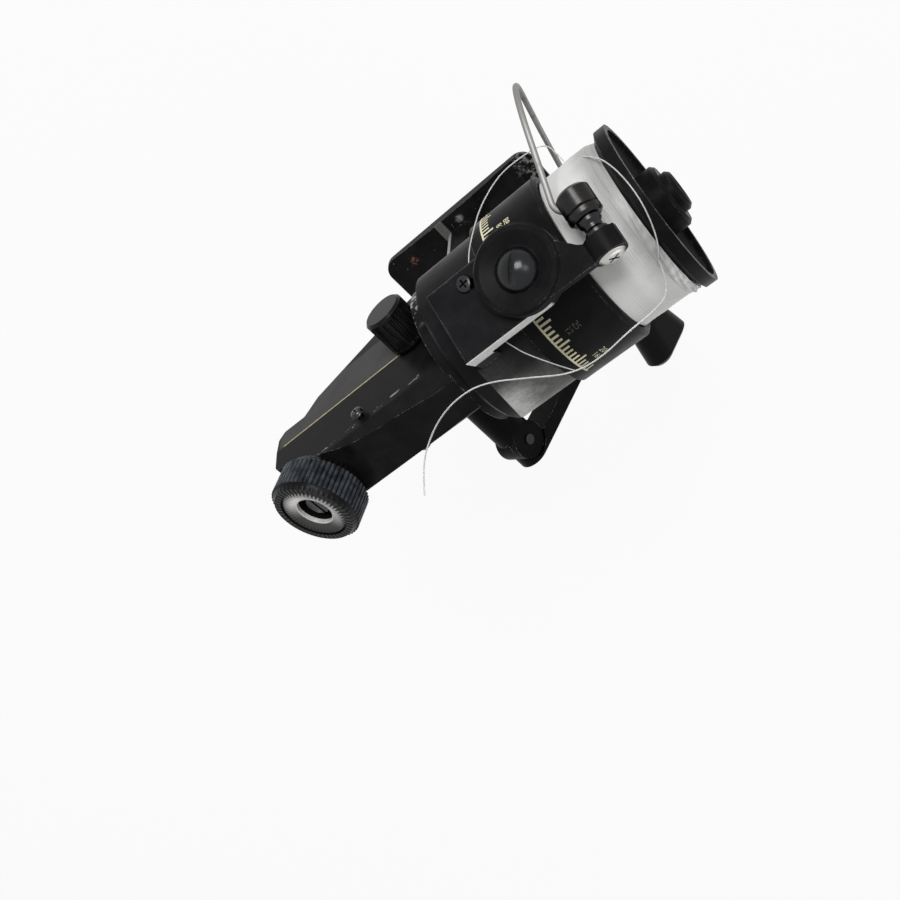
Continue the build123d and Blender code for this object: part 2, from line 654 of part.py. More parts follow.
def stem():
    """Stem that rises from the foot and spreads back into the housing."""
    height = AXIS_H - NOSE_R
    front = [(STEM_X - STEM_L * a, height * b) for a, b in STEM_FRONT_SHARES]
    rear = [(STEM_X - STEM_L * a, height * b) for a, b in STEM_REAR_SHARES]
    radii = [0, STEM_T, STEM_T, STEM_T, 0, 0, STEM_ROUND, STEM_ROUND, STEM_T / 2, STEM_T, 0]
    solid = side_solid(front + rear, radii, -STEM_T / 2, STEM_T / 2)
    upright = solid.faces().filter_by(Axis.Y)
    return chamfer(upright.edges(), STEM_ROUND / 2)


def foot():
    """Foot with thin round ends and a thicker middle."""
    half = FOOT_L / 2
    rise = ((half, FOOT_EDGE), (half / 3, FOOT_T), (-half / 3, FOOT_T), (-half, FOOT_EDGE))
    points = [(-half, 0), (half, 0), *rise]
    bar = side_solid(points, [0, 0, 0, FOOT_BEND, FOOT_BEND, 0], -FOOT_W / 2, FOOT_W / 2)
    return bar & extrude(RectangleRounded(FOOT_L, FOOT_W, FOOT_CORNER), FOOT_T + CUT)


def cavity():
    """Gear case, open on the crank's side."""
    length, height = CAVITY_FRONT - CAVITY_REAR, CAVITY_RISE + CAVITY_DROP
    middle = ((CAVITY_FRONT + CAVITY_REAR) / 2, (CAVITY_SIDE + COVER_Y - CUT) / 2,
              AXIS_H + (CAVITY_RISE - CAVITY_DROP) / 2)
    room = Pos(*middle) * Box(length, CAVITY_SIDE - COVER_Y + CUT, height)
    room += rod(CRANK, GEAR_R + GAP * 2, -CAVITY_SIDE, -COVER_Y + CUT)
    return room + rod(MAIN, PINION_R + GAP, CAVITY_FRONT - CUT, PINION_END + GAP)


def side_screw_places():
    """Screws that hold the cover on, as places in X and Z."""
    rear = (CAVITY_REAR - SIDE_SCREW_R, AXIS_H)
    low = (CAVITY_REAR + SIDE_SCREW_ALONG, AXIS_H + CAVITY_RISE + SIDE_SCREW_R)
    high = (CAVITY_REAR + SIDE_SCREW_ALONG, AXIS_H - CAVITY_DROP - SIDE_SCREW_R)
    return rear, low, high


def side_screw(place, side):
    """Pan-headed screw whose head stands on the housing's side at the given Y."""
    outward = 1 if side > 0 else -1
    frame = Plane(origin=(place[0], side, place[1]), x_dir=(1, 0, 0), z_dir=(0, outward, 0))
    return turned(frame, [
        (-SCREW_L, 0), (-SCREW_L, SCREW_R), (0, SCREW_R), (0, SIDE_SCREW_R),
        (SIDE_SCREW_H / 2, SIDE_SCREW_R), (SIDE_SCREW_H, SIDE_SCREW_R / 2), (SIDE_SCREW_H, 0),
    ])


def screw_hole(place, side):
    frame = Plane(origin=(place[0], side, place[1]), x_dir=(1, 0, 0), z_dir=(0, 1, 0))
    return rod(frame, SCREW_R, -SCREW_L, SCREW_L)


CASE_SCREW = (BODY_FRONT - CASE_SCREW_BACK, AXIS_H + CASE_SCREW_RISE)


def housing():
    body = body_form(COVER_Y, BODY_HALF) + stem() + foot()
    body += rod(MAIN, NOSE_R, BODY_FRONT - CUT, NOSE_X) + rod(MAIN, NECK_R, NOSE_X, NECK_X)
    body -= cavity()
    body -= rod(MAIN, BEARING_R, NECK_X - BEARING_L, NECK_X + CUT)
    body -= rod(MAIN, SLEEVE_R + GAP, BODY_FRONT, NECK_X)
    body -= rod(CRANK, BUSH_R, -BODY_HALF - CUT, 0)
    body -= rod(KNOB, DRAG_STEM_R + FIT, -KNOB_L - DRAG_STEM_L - GAP, 0)
    for place in side_screw_places():
        body -= screw_hole(place, -CRANK_HALF)
    return body - screw_hole(CASE_SCREW, BODY_HALF)


def side_cover():
    plate = body_form(-CRANK_HALF, COVER_Y) - rod(MAIN, NOSE_R + FIT, BODY_FRONT - CUT, NOSE_X)
    plate += rod(CRANK, HUB_R, CRANK_HALF - CUT, CRANK_HALF + HUB_BOSS)
    plate -= rod(CRANK, BUSH_R, 0, CRANK_HALF + HUB_BOSS + CUT)
    for place in side_screw_places():
        plate -= screw_hole(place, -CRANK_HALF)
    return plate


def rotor_bearing():
    return ring(MAIN, BEARING_R, SLEEVE_R + FIT, NECK_X - BEARING_L, NECK_X)


def bush(start, end):
    return ring(CRANK, BUSH_R, AXLE_R + FIT, start, end)


# Shaft

def main_shaft():
    return rod(MAIN, SHAFT_R, SHAFT_REAR, SHAFT_FRONT)


def slider():
    """Block on the shaft's rear end that the gear train moves to and fro."""
    block = MAIN * Pos(0, 0, SHAFT_REAR - SLIDER_L / 2) * Box(SLIDER_W, SLIDER_H, SLIDER_L, align=ONTO)
    return block - rod(MAIN, SHAFT_R, SHAFT_REAR, SHAFT_REAR + SLIDER_L)


def shaft_ring():
    """Ring behind the spool's hub, on which the spool is seated."""
    end = FLOOR_X - SPOOL_HUB_L - GAP
    return ring(MAIN, SEAT_RING_R, SHAFT_R, end - SEAT_RING_L, end)


def loose_line():
    """Loose end of the line, sprung out of the winding."""
    points = [Vector(*p) for p in LOOSE_POINTS]
    radii = []
    for a, b, c in zip(points, points[1:], points[2:]):
        half = radians((b - a).get_angle(c - b)) / 2
        radii.append(RUN_SHARE * min((b - a).length, (c - b).length) / tan(half))
    path = FilletPolyline(*points, radius=radii)
    tube = sweep(Plane(origin=path @ 0, z_dir=path % 0) * Circle(LOOSE_D / 2), path.wire())
    section = pi * (LOOSE_D / 2) ** 2
    print("loose line radii", [round(r, 1) for r in radii], "length", round(path.length, 1))
    print("loose line volume", round(tube.volume, 2), "section by length", round(section * path.length, 2))
    return tube


# Crank

GEAR_BACK = -COVER_Y - GAP
GEAR_FACE = GEAR_BACK - GEAR_T
GEAR_TOP = PINION_R + GAP
SHANK_START = CRANK_HALF + HUB_BOSS + GAP
CRANK_IN = ELBOW_OUT + CRANK_RISE
CRANK_END = CRANK_IN + CRANK_SHIFT + CRANK_T
GRIP_IN = CRANK_END + GAP
ELBOW = Plane(origin=CRANK.from_local_coords(Vector(0, 0, ELBOW_OUT)), x_dir=CRANK.x_dir, z_dir=CRANK.y_dir)


def drive_gear():
    """Face gear: a disc whose rim carries a crown of teeth towards the pinion."""
    outer, inner = GEAR_R, GEAR_R - GEAR_RING
    disc = ring(CRANK, outer, AXLE_R, GEAR_FACE, GEAR_BACK)
    disc += ring(CRANK, GEAR_HUB_R, AXLE_R, GEAR_TOP + TOOTH_H, GEAR_FACE)
    disc += ring(CRANK, outer, inner, GEAR_TOP, GEAR_FACE)
    middle = outer - GEAR_RING / 2
    slot = Box(GEAR_RING + CUT * 2, pi * middle / GEAR_TEETH, TOOTH_H, align=ONTO)
    turns = [Rot(0, 0, 360 * i / GEAR_TEETH) for i in range(GEAR_TEETH)]
    return disc.cut(*[CRANK * turn * Pos(middle, 0, GEAR_TOP) * slot for turn in turns])


def crank_axle():
    """Axle through the gear case, with the shank and the elbow's fork outside it."""
    axle = rod(CRANK, AXLE_R, -BODY_HALF - TENSION_L + CRANK_T, SHANK_START)
    axle += rod(CRANK, SHANK_R, SHANK_START, ELBOW_OUT - ELBOW_R)
    flats = slab(ELBOW, Rectangle(CRANK_L, CRANK_L), -ELBOW_W / 2, ELBOW_W / 2)
    axle += rod(CRANK, SHANK_R, ELBOW_OUT - ELBOW_R - CUT, ELBOW_OUT) & flats
    fork = rod(ELBOW, ELBOW_R, -ELBOW_W / 2, ELBOW_W / 2)
    slot = rod(ELBOW, ELBOW_R + CUT, -TONGUE_T / 2 - FIT, TONGUE_T / 2 + FIT)
    axle = axle - slot + (fork - slot)
    return axle - rod(ELBOW, PIN_R, -ELBOW_W, ELBOW_W)


def elbow_pin():
    half = ELBOW_W / 2
    pin = rod(ELBOW, PIN_R, -half, half) + rod(ELBOW, PIN_HEAD_R, half, half + PIN_HEAD_H)
    return pin + rod(ELBOW, PIN_HEAD_R, -half - PIN_HEAD_H, -half)


def crank_arm():
    """Arm of the crank, which steps outwards clear of the bail and tapers to the grip."""
    low, high, t = CRANK_IN, CRANK_IN + CRANK_SHIFT, CRANK_T
    step, ramp, end = CRANK_STEP, CRANK_STEP + CRANK_RAMP, CRANK_L + CRANK_NARROW
    lean = t / 4
    side = outline(
        [(-ELBOW_R, low), (step, low), (ramp, high), (end, high), (end, high + t), (ramp - lean, high + t),
         (step - lean, low + t), (-ELBOW_R, low + t)],
        [0, CRANK_BEND, CRANK_BEND, 0, 0, CRANK_BEND, CRANK_BEND, 0])
    front = Plane(origin=CRANK.origin, x_dir=CRANK.x_dir, z_dir=CRANK.y_dir * -1)
    bar = slab(front, side, -CRANK_WIDE, CRANK_WIDE)
    wide = Circle(CRANK_WIDE / 2)
    plan = make_hull((wide.edges() + (Pos(CRANK_L, 0) * Circle(CRANK_NARROW / 2)).edges()))
    bar &= slab(CRANK, plan, low - CUT, high + t + CUT)
    cheeks = rod(ELBOW, ELBOW_R + GAP, -ELBOW_W, ELBOW_W)
    tongue = rod(ELBOW, ELBOW_R, -TONGUE_T / 2, TONGUE_T / 2)
    root = bar & slab(ELBOW, Rectangle(CRANK_L, CRANK_L), -TONGUE_T / 2, TONGUE_T / 2)
    arm = bar - cheeks + tongue + root
    arm -= rod(ELBOW, PIN_R, -ELBOW_W, ELBOW_W)
    return arm - rod(CRANK, GRIP_PIN_R, high - CUT, high + t + CUT, (CRANK_L, 0))


def grip_pin():
    """Rivet on which the grip turns."""
    at = (CRANK_L, 0)
    pin = rod(CRANK, GRIP_PIN_R, CRANK_END - CRANK_T, GRIP_IN + GRIP_L - GRIP_ROUND, at)
    return pin + rod(CRANK, GRIP_PIN_R * 2, CRANK_END - CRANK_T - PIN_HEAD_H, CRANK_END - CRANK_T, at)


def grip():
    """Paddle grip, round at its root and flat and wide at its end."""
    base = CRANK * Pos(CRANK_L, 0, GRIP_IN)
    waist_w, waist_t = (GRIP_ROOT + GRIP_W) / 2, (GRIP_ROOT + GRIP_T) / 2
    waist = Pos(0, 0, GRIP_L * GRIP_WAIST_SHARE) * SlotOverall(waist_w, waist_t)
    root = SlotOverall(GRIP_ROOT + GAP, GRIP_ROOT)
    end = Pos(0, 0, GRIP_L) * SlotOverall(GRIP_W, GRIP_T)
    body = loft([base * root, base * waist, base * end])
    top = body.faces().sort_by(Axis.Y)[0]
    body = chamfer(top.edges(), GRIP_ROUND / 2)
    depth = GRIP_IN + GRIP_L - GRIP_ROUND + GAP
    return body - rod(CRANK, GRIP_PIN_R + FIT, GRIP_IN - CUT, depth, (CRANK_L, 0))


def tension_cap():
    """Knurled cap on the far end of the crank's axle."""
    start, end = -BODY_HALF - GAP, -BODY_HALF - TENSION_L
    cap = turned(CRANK, [
        (start, AXLE_R), (start, TENSION_R - TENSION_FACE), (start - TENSION_FACE, TENSION_R),
        (end + TENSION_FACE, TENSION_R), (end, TENSION_R - TENSION_FACE), (end, 0), (end + CRANK_T, 0),
        (end + CRANK_T, AXLE_R),
    ])
    for i in range(TENSION_FLUTES):
        turn = 2 * pi * i / TENSION_FLUTES
        cap -= rod(CRANK, FLUTE_R, end + TENSION_FACE * 2, start - TENSION_FACE * 2,
                   (TENSION_R * cos(turn), TENSION_R * sin(turn)))
    return cap


# Drag knob

def drag_knob():
    """Ribbed knob, whose ribs are one extruded star between two smooth bands."""
    front = KNOB_R - KNOB_TAPER
    core = KNOB_R - RIB_H
    body = turned(KNOB, [
        (-KNOB_L, 0), (-KNOB_L, KNOB_R - KNOB_TAPER), (-KNOB_L + KNOB_REAR_L, core),
        (-KNOB_FACE_L, core), (0, front), (0, RING_R), (-RING_L, RING_R), (-RING_L, HOLE_R),
        (-HOLE_DEPTH, HOLE_R), (-HOLE_DEPTH, 0),
    ])
    ribs = slab(KNOB, star(KNOB_R, core, KNOB_RIBS), -KNOB_L + KNOB_REAR_L, -KNOB_FACE_L)
    ribs -= rod(KNOB, core - RIB_H, -KNOB_L, 0)
    return body + ribs - rod(KNOB, DRAG_STEM_R, -KNOB_L - CUT, CUT)


def knob_ring():
    """Bright dished ring in the knob's face."""
    return turned(KNOB, [
        (-RING_L, HOLE_R), (-RING_L, RING_R), (-RING_L / 4, RING_R), (0, RING_R - RING_L / 2),
        (-RING_L / 2, HOLE_R),
    ])


def drag_stem():
    """Threaded stem that carries the knob into the housing."""
    stem_rod = rod(KNOB, DRAG_STEM_R, -KNOB_L - DRAG_STEM_L, -HOLE_DEPTH)
    head = rod(KNOB, KNOB_SCREW_R, -HOLE_DEPTH, -HOLE_DEPTH + KNOB_SCREW_H)
    slot = Box(KNOB_SCREW_R * 2 + CUT, SLOT_W / 2, KNOB_SCREW_H, align=ONTO)
    return stem_rod + head - KNOB * Pos(0, 0, -HOLE_DEPTH + KNOB_SCREW_H / 2) * slot


def write(name, solid):
    solid.label = name
    export_step(solid, f"parts/{name}.step")


far = {"about": ARMS}
write("housing", housing())
write("side_cover", side_cover())
for number, place in enumerate(side_screw_places(), 1):
    write(f"cover_screw_{number}", side_screw(place, -CRANK_HALF))
write("case_screw", side_screw(CASE_SCREW, BODY_HALF))
write("rotor_bearing", rotor_bearing())
write("crank_bush_near", bush(-BODY_HALF, -CAVITY_SIDE))
write("crank_bush_far", bush(-COVER_Y, CRANK_HALF + HUB_BOSS))
write("rotor", rotor())
write("rotor_nut", rotor_nut())
write("pinion", pinion())
write("arm_cover_near", arm_cover())
write("arm_cover_far", mirror(arm_cover(), **far))
write("arm_screw_near", cover_screw())
write("arm_screw_far", mirror(cover_screw(), **far))
write("pivot_screw_near", pivot_screw())
write("pivot_screw_far", mirror(pivot_screw(), **far))
write("bail_arm", bail_arm())
write("bail_holder", bail_holder())
write("bail_wire", bail_wire())
write("roller_screw", roller_screw())
write("wire_collar", wire_collar())
write("line_roller", line_roller())
write("main_shaft", main_shaft())
write("slider", slider())
write("shaft_ring", shaft_ring())
write("loose_line", loose_line())
write("spool", spool())
write("line_core", line_core())
write("line_turns", line_turns())
write("spool_washer", spool_washer())
write("spool_cap", spool_cap())
write("spool_button", spool_button())
write("crank_axle", crank_axle())
write("drive_gear", drive_gear())
write("tension_cap", tension_cap())
write("elbow_pin", elbow_pin())
write("crank_arm", crank_arm())
write("grip_pin", grip_pin())
write("grip", grip())
write("drag_knob", drag_knob())
write("knob_ring", knob_ring())
write("drag_stem", drag_stem())
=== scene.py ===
import math
import random

import bmesh
import bpy
from mathutils import Matrix, Vector


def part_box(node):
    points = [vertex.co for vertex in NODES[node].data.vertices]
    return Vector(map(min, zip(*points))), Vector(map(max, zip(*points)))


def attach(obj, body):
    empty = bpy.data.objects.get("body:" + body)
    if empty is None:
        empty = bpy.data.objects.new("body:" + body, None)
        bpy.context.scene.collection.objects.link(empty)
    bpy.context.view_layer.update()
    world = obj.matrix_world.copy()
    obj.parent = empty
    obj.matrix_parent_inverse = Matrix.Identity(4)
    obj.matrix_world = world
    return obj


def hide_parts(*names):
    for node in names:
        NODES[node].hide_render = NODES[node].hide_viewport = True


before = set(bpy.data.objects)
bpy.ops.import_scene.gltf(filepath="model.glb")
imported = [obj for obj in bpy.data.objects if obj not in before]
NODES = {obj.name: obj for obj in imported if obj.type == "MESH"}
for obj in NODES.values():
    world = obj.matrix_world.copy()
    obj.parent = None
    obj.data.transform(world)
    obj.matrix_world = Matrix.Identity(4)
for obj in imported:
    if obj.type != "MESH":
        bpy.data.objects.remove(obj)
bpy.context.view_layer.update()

# A rear-drag spinning reel on its foot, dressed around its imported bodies. Lengths in this file are
# millimetres, and MM turns them into Blender's metres; only the cord's length, the floor, the lamps
# and the camera's clipping are given in metres. X points ahead along the spool's axis, Y towards the
# tension cap, and Z from the foot's seat up to the body.

MM = 0.001
SCENE = bpy.context.scene
WHITE = (1.0, 1.0, 1.0, 1.0)
AHEAD, CAPWARD, UPWARD = (1, 0, 0), (0, 1, 0), (0, 0, 1)

# Body and rotor
AXIS_H = 78.0                           # spool's axis, above the foot's seat
BODY_HALF, CRANK_HALF = 12.0, 10.6      # flat sides of the body: the cap's and the crank's
SIDEWAYS = math.sqrt(0.5)               # the rotor's arms stand 45 degrees round from Y and Z
PIVOT_X = 29.0
ARM_FACE = 33.0                         # outer faces of the arms' plates, out from the axis
ARM_SCREW_X, ARM_SCREW_SIDE = -14.3, 3.6
ROLLER_AHEAD, ROLLER_OUT = 21.6, 34.2   # middle of the line roller: from the pivots, from the axis
ROLLER_HEAD = 14.8                      # seat of the roller screw's head, from the roller's middle

# Spool and winding
SKIRT_R = 27.3
WIND_REAR, WIND_FRONT = 40.0, 59.4
WIND_R, WIND_FRONT_R = 24.7, 23.8
WIND_TAPER = 3.0
WIND_ROUND, WIND_DROP = 1.4, 2.2        # rear end of the winding: length rounded off, and how far
ARBOR_R = 17.06
LIP_FOOT_X, LIP_FOOT_R = 58.4, 22.0
END_GAP = 0.06

# Drag knob
KNOB_AT = (-69.0, 0, 102.6)
KNOB_SIDE = (0.9170601, 0, 0.3987491)
KNOB_TEETH = 48
KNOB_RIM_R = (13.55, 13.95)
KNOB_FRONT_R = (12.9, 13.3)
DISH_BORE_R = (5.9, 6.1)


def place(origin, along, side):
    """Matrix of a workpiece's frame: z is along, x is side, origin in millimetres."""
    z = Vector(along).normalized()
    y = z.cross(Vector(side)).normalized()
    x = y.cross(z)
    turn = Matrix((x, y, z)).transposed().to_4x4()
    return Matrix.Translation(Vector(origin) * MM) @ turn


MAIN = place((0, 0, AXIS_H), AHEAD, CAPWARD)
NEAR_ARM = place((PIVOT_X, 0, AXIS_H), (0, SIDEWAYS, SIDEWAYS), AHEAD)
FAR_ARM = place((PIVOT_X, 0, AXIS_H), (0, -SIDEWAYS, -SIDEWAYS), AHEAD)
ROLLER = place((PIVOT_X + ROLLER_AHEAD, ROLLER_OUT * SIDEWAYS, AXIS_H + ROLLER_OUT * SIDEWAYS),
               (0, SIDEWAYS, -SIDEWAYS), AHEAD)


# Shader maths

class Level:
    """A number in a shader: its operators add Math nodes."""

    def __init__(self, finish, socket):
        self.finish = finish
        self.socket = socket

    def maths(self, operation, *values):
        inputs = dict(enumerate((self, *values)))
        return self.finish.level("ShaderNodeMath", {"operation": operation}, inputs)

    def __add__(self, other):
        return self.maths("ADD", other)

    def __mul__(self, other):
        return self.maths("MULTIPLY", other)

    def __sub__(self, other):
        return self.maths("SUBTRACT", other)

    def __neg__(self):
        return self.maths("MULTIPLY", -1.0)

    def __rsub__(self, other):
        return -self + other

    __radd__ = __add__
    __rmul__ = __mul__

    def __pow__(self, other):
        return self.maths("POWER", other)

    def clamped(self):
        return self.maths("MAXIMUM", 0.0).maths("MINIMUM", 1.0)

    def rise(self, low, high):
        """Goes from 0 to 1 as the value goes from low to high."""
        inputs = {"Value": self, "From Min": low, "From Max": high}
        return self.finish.level("ShaderNodeMapRange", {"interpolation_type": "SMOOTHSTEP"}, inputs)

    def band(self, low, high, soft):
        """1 between low and high, with soft ends."""
        return self.rise(low - soft, low + soft) * (1 - self.rise(high - soft, high + soft))


class Finish:
    """A surface finish under way: one node tree with one main shader."""

    def __init__(self, name, tree=None):
        if tree is None:
            self.material = bpy.data.materials.new(name)
            self.material.use_nodes = True
            tree = self.material.node_tree
        self.tree = tree
        self.tree.nodes.clear()

    def node(self, kind, settings, inputs):
        """Adds a node, sets its settings, then its sockets' values or links."""
        made = self.tree.nodes.new(kind)
        for name, value in settings.items():
            setattr(made, name, value)
        for key, value in inputs.items():
            socket = made.inputs[key]
            if isinstance(value, Level):
                self.tree.links.new(value.socket, socket)
            elif isinstance(value, bpy.types.NodeSocket):
                self.tree.links.new(value, socket)
            else:
                socket.default_value = value
        return made

    def level(self, kind, settings, inputs):
        return Level(self, self.node(kind, settings, inputs).outputs[0])

    def position(self):
        return self.node("ShaderNodeTexCoord", {}, {}).outputs["Object"]

    def along(self, direction, origin=(0, 0, 0)):
        """Millimetres along a direction from an origin, in the reel's own frame."""
        moved = self.node("ShaderNodeVectorMath", {"operation": "SUBTRACT"},
                          {0: self.position(), 1: Vector(origin) * MM}).outputs[0]
        dot = self.node("ShaderNodeVectorMath", {"operation": "DOT_PRODUCT"},
                        {0: moved, 1: Vector(direction) / MM})
        return Level(self, dot.outputs["Value"])

    def reach(self, centre, side_a, side_b):
        """Distance from a centre in millimetres, in the plane of two directions."""
        a, b = self.along(side_a, centre), self.along(side_b, centre)
        return (a * a + b * b) ** 0.5

    def noise(self, size, detail, roughness=0.55, grain=(1, 1, 1)):
        """Even noise whose lumps are size millimetres across; grain stretches them on each axis."""
        share = [g / size for g in grain]
        spot = self.node("ShaderNodeVectorMath", {"operation": "MULTIPLY"},
                         {0: self.position(), 1: Vector(share) / MM}).outputs[0]
        inputs = {"Vector": spot, "Scale": 1.0, "Detail": detail, "Roughness": roughness}
        return self.level("ShaderNodeTexNoise", {}, inputs)

    def mix(self, factor, low, high):
        """Colour that goes from low to high."""
        ends = [c if isinstance(c, bpy.types.NodeSocket) else (*c, 1.0) for c in (low, high)]
        inputs = {0: factor, 6: ends[0], 7: ends[1]}
        return self.node("ShaderNodeMix", {"data_type": "RGBA"}, inputs).outputs[2]

    def edges(self, radius):
        """1 on sharp edges, over radius millimetres."""
        bevel = self.node("ShaderNodeBevel", {"samples": 6}, {"Radius": radius * MM})
        normal = self.node("ShaderNodeNewGeometry", {}, {}).outputs["Normal"]
        dot = self.node("ShaderNodeVectorMath", {"operation": "DOT_PRODUCT"},
                        {0: bevel.outputs[0], 1: normal})
        return (1 - Level(self, dot.outputs["Value"])) * 6.0

    def bump(self, height, depth):
        """Normal from a height of 0 to 1, depth millimetres deep."""
        inputs = {"Height": height, "Distance": depth * MM, "Strength": 1.0}
        return self.node("ShaderNodeBump", {}, inputs).outputs[0]

    def shade(self, **sockets):
        """Main shader; spaces in a socket's name are written as underscores."""
        inputs = {name.replace("_", " "): value for name, value in sockets.items()}
        shader = self.node("ShaderNodeBsdfPrincipled", {}, inputs)
        self.node("ShaderNodeOutputMaterial", {}, {0: shader.outputs[0]})
        return self.material


# Finishes: level is the shader's specular level, which keeps the blacks deep over a white floor

def painted(name, tone, shine, worn, level, grain=0.03, marks=None):
    """Black enamel over metal: faint orange peel, handling haze, and paint rubbed off the edges."""
    f = Finish(name)
    patches = f.noise(7.0, 4.0)
    speckle = f.noise(0.55, 2.0)
    hairs = f.noise(1.0, 5.0, 0.7, (0.12, 1.6, 0.5))
    rubbed = (f.edges(0.3) * patches.rise(0.42, 0.62) * speckle.rise(0.38, 0.66) * worn).clamped()
    haze = patches.rise(0.35, 0.75)
    color = f.mix(haze, tone, [c * 1.6 + 0.0015 for c in tone])
    color = f.mix(f.noise(0.25, 1.0).rise(0.76, 0.82) * 0.3, color, (0.10, 0.10, 0.10))
    color = f.mix(rubbed, color, (0.30, 0.295, 0.28))
    metallic = rubbed
    roughness = haze * 0.12 + speckle * 0.08 + hairs.rise(0.55, 0.8) * 0.1 + (shine - 0.06)
    if marks:
        color, metallic, roughness = marks(f, color, metallic, roughness)
    peel = f.bump(f.noise(0.8, 2.0), grain)
    return f.shade(Base_Color=color, Metallic=metallic, Roughness=roughness, Normal=peel,
                   Specular_IOR_Level=level)


def metal(name, tone, dull, grain=(1, 1, 1), size=0.6, tarnish_and_shade=(0.05, 0.045, 0.04), depth=0.006):
    """Bare metal with fine tool marks and a little tarnish."""
    f = Finish(name)
    marks = f.noise(size, 4.0, 0.6, grain)
    patches = f.noise(4.0, 4.0)
    color = f.mix(marks, [c * 0.86 for c in tone], tone)
    color = f.mix(patches.rise(0.52, 0.8) * 0.45, color, tarnish_and_shade)
    roughness = marks * 0.14 + patches * 0.12 + (dull - 0.12)
    return f.shade(Base_Color=color, Metallic=1.0, Roughness=roughness, Normal=f.bump(marks, depth))


def plastic(name, tone, shine, level, depth=0.02):
    """Moulded black plastic with a fine matt grain and rubbed edges."""
    f = Finish(name)
    grain = f.noise(0.35, 3.0)
    patches = f.noise(5.0, 3.0)
    rubbed = (f.edges(0.3) * patches.rise(0.35, 0.65) * 0.6).clamped()
    color = f.mix(patches, tone, [c * 1.5 + 0.001 for c in tone])
    color = f.mix(rubbed, color, (0.07, 0.07, 0.073))
    roughness = grain * 0.12 + patches * 0.1 + (shine - 0.08)
    return f.shade(Base_Color=color, Roughness=roughness, Normal=f.bump(grain, depth),
                   Specular_IOR_Level=level)


def body_marks(f, color, metallic, roughness):
    """The cap's side of the body: painted light on the flank, gilt stripe at the crease, dashes worn on
    the edge.
    """
    flank_z, stripe_z, edge_z = (58.0, 75.9), (76.0, 76.55), (92.2, 93.4)
    flank_x, stripe_x, edge_x = (-75.0, -9.0), (-73.0, -9.0), (-60.0, -14.0)
    x, y, z = f.along(AHEAD), f.along(CAPWARD), f.along(UPWARD)
    # Painted light: the flat flank on the foot's side of the stripe is painted lighter, as if lit by
    # the key lamp.
    painted_light_flank = z.band(*flank_z, 0.3) * y.rise(8.0, 11.4) * x.band(*flank_x, 0.6)
    color = f.mix(painted_light_flank * 0.9, color, (0.046, 0.046, 0.045))
    chips = f.noise(0.5, 2.0).rise(0.28, 0.36)
    stripe = z.band(*stripe_z, 0.06) * x.band(*stripe_x, 0.4) * y.rise(11.4, 11.6) * chips
    color = f.mix(stripe, color, (0.50, 0.43, 0.24))
    dashes = f.noise(1.0, 3.0, 0.6, (0.32, 1.2, 1.2)).rise(0.56, 0.62)
    worn = z.band(*edge_z, 0.2) * x.band(*edge_x, 2.0) * y.rise(7.0, 8.4) * dashes
    color = f.mix(worn, color, (0.30, 0.31, 0.32))
    return color, (metallic + worn * 0.6).clamped(), roughness + stripe * 0.08


def foot_marks(f, color, metallic, roughness):
    """Paint worn through at the foot's front end, nicks all over it, and a reddish scuff."""
    scuff_at, front_end, top = (-22.6, 5.2, 3.0), (24.0, 31.0), (5.6, 6.4)
    x, z = f.along(AHEAD), f.along(UPWARD)
    foot = 1 - z.rise(*top)
    rub = f.noise(1.6, 5.0, 0.65).rise(0.50, 0.66) * x.rise(*front_end) * foot * 0.7
    nick = f.noise(1.1, 2.0).rise(0.735, 0.76) * foot
    color = f.mix(rub, color, (0.34, 0.34, 0.33))
    color = f.mix(nick, color, (0.30, 0.27, 0.24))
    scuff = 1 - f.reach(scuff_at, AHEAD, CAPWARD).rise(1.0, 2.6)
    color = f.mix(scuff * f.noise(0.9, 3.0).rise(0.45, 0.6) * foot, color, (0.16, 0.07, 0.05))
    return color, (metallic + rub * 0.7).clamped(), roughness + rub * 0.1


def casting_marks(f, color, metallic, roughness):
    """Bare rear corner of the stem, a painted highlight on the fillet beside it, and painted reflection
    flecks on the housing's front.
    """
    lean, stem_back, stem_z, nose_x = 0.096, (4.4, 7.6), (5.0, 23.0), (-9.0, 1.0)
    gleam_at, gleam_z = (0.8, 7.0, 4.6), (3.0, 6.0)
    x, y, z = f.along(AHEAD), f.along(CAPWARD), f.along(UPWARD)
    back = -x - z * lean
    flakes = f.noise(0.9, 4.0, 0.65)
    stem = back.band(*stem_back, 0.15) * z.band(*stem_z, 1.5) * y.rise(3.0, 3.6)
    stem = stem * flakes.rise(0.20, 0.45)
    # Painted reflection: light flecks where the front of the housing catches the bright surroundings.
    nose_reflection = x.band(*nose_x, 0.4) * y.rise(20.0, 22.5) * f.noise(2.6, 4.0, 0.6).rise(0.46, 0.58)
    # Painted highlight: a small gleam on the fillet where the stem meets the foot.
    spot = (1 - f.reach(gleam_at, AHEAD, CAPWARD).rise(0.5, 1.9)) * z.band(*gleam_z, 0.5)
    bare_and_painted_light = (stem * 0.9 + nose_reflection * 0.8 + spot * flakes.rise(0.3, 0.6) * 0.7).clamped()
    color = f.mix(bare_and_painted_light, color, (0.42, 0.42, 0.40))
    return color, (metallic + bare_and_painted_light * 0.4).clamped(), roughness + bare_and_painted_light * 0.1


def case_marks(f, color, metallic, roughness):
    """Marks of the body, the foot and the stem between them, which share one casting."""
    return casting_marks(f, *foot_marks(f, *body_marks(f, color, metallic, roughness)))


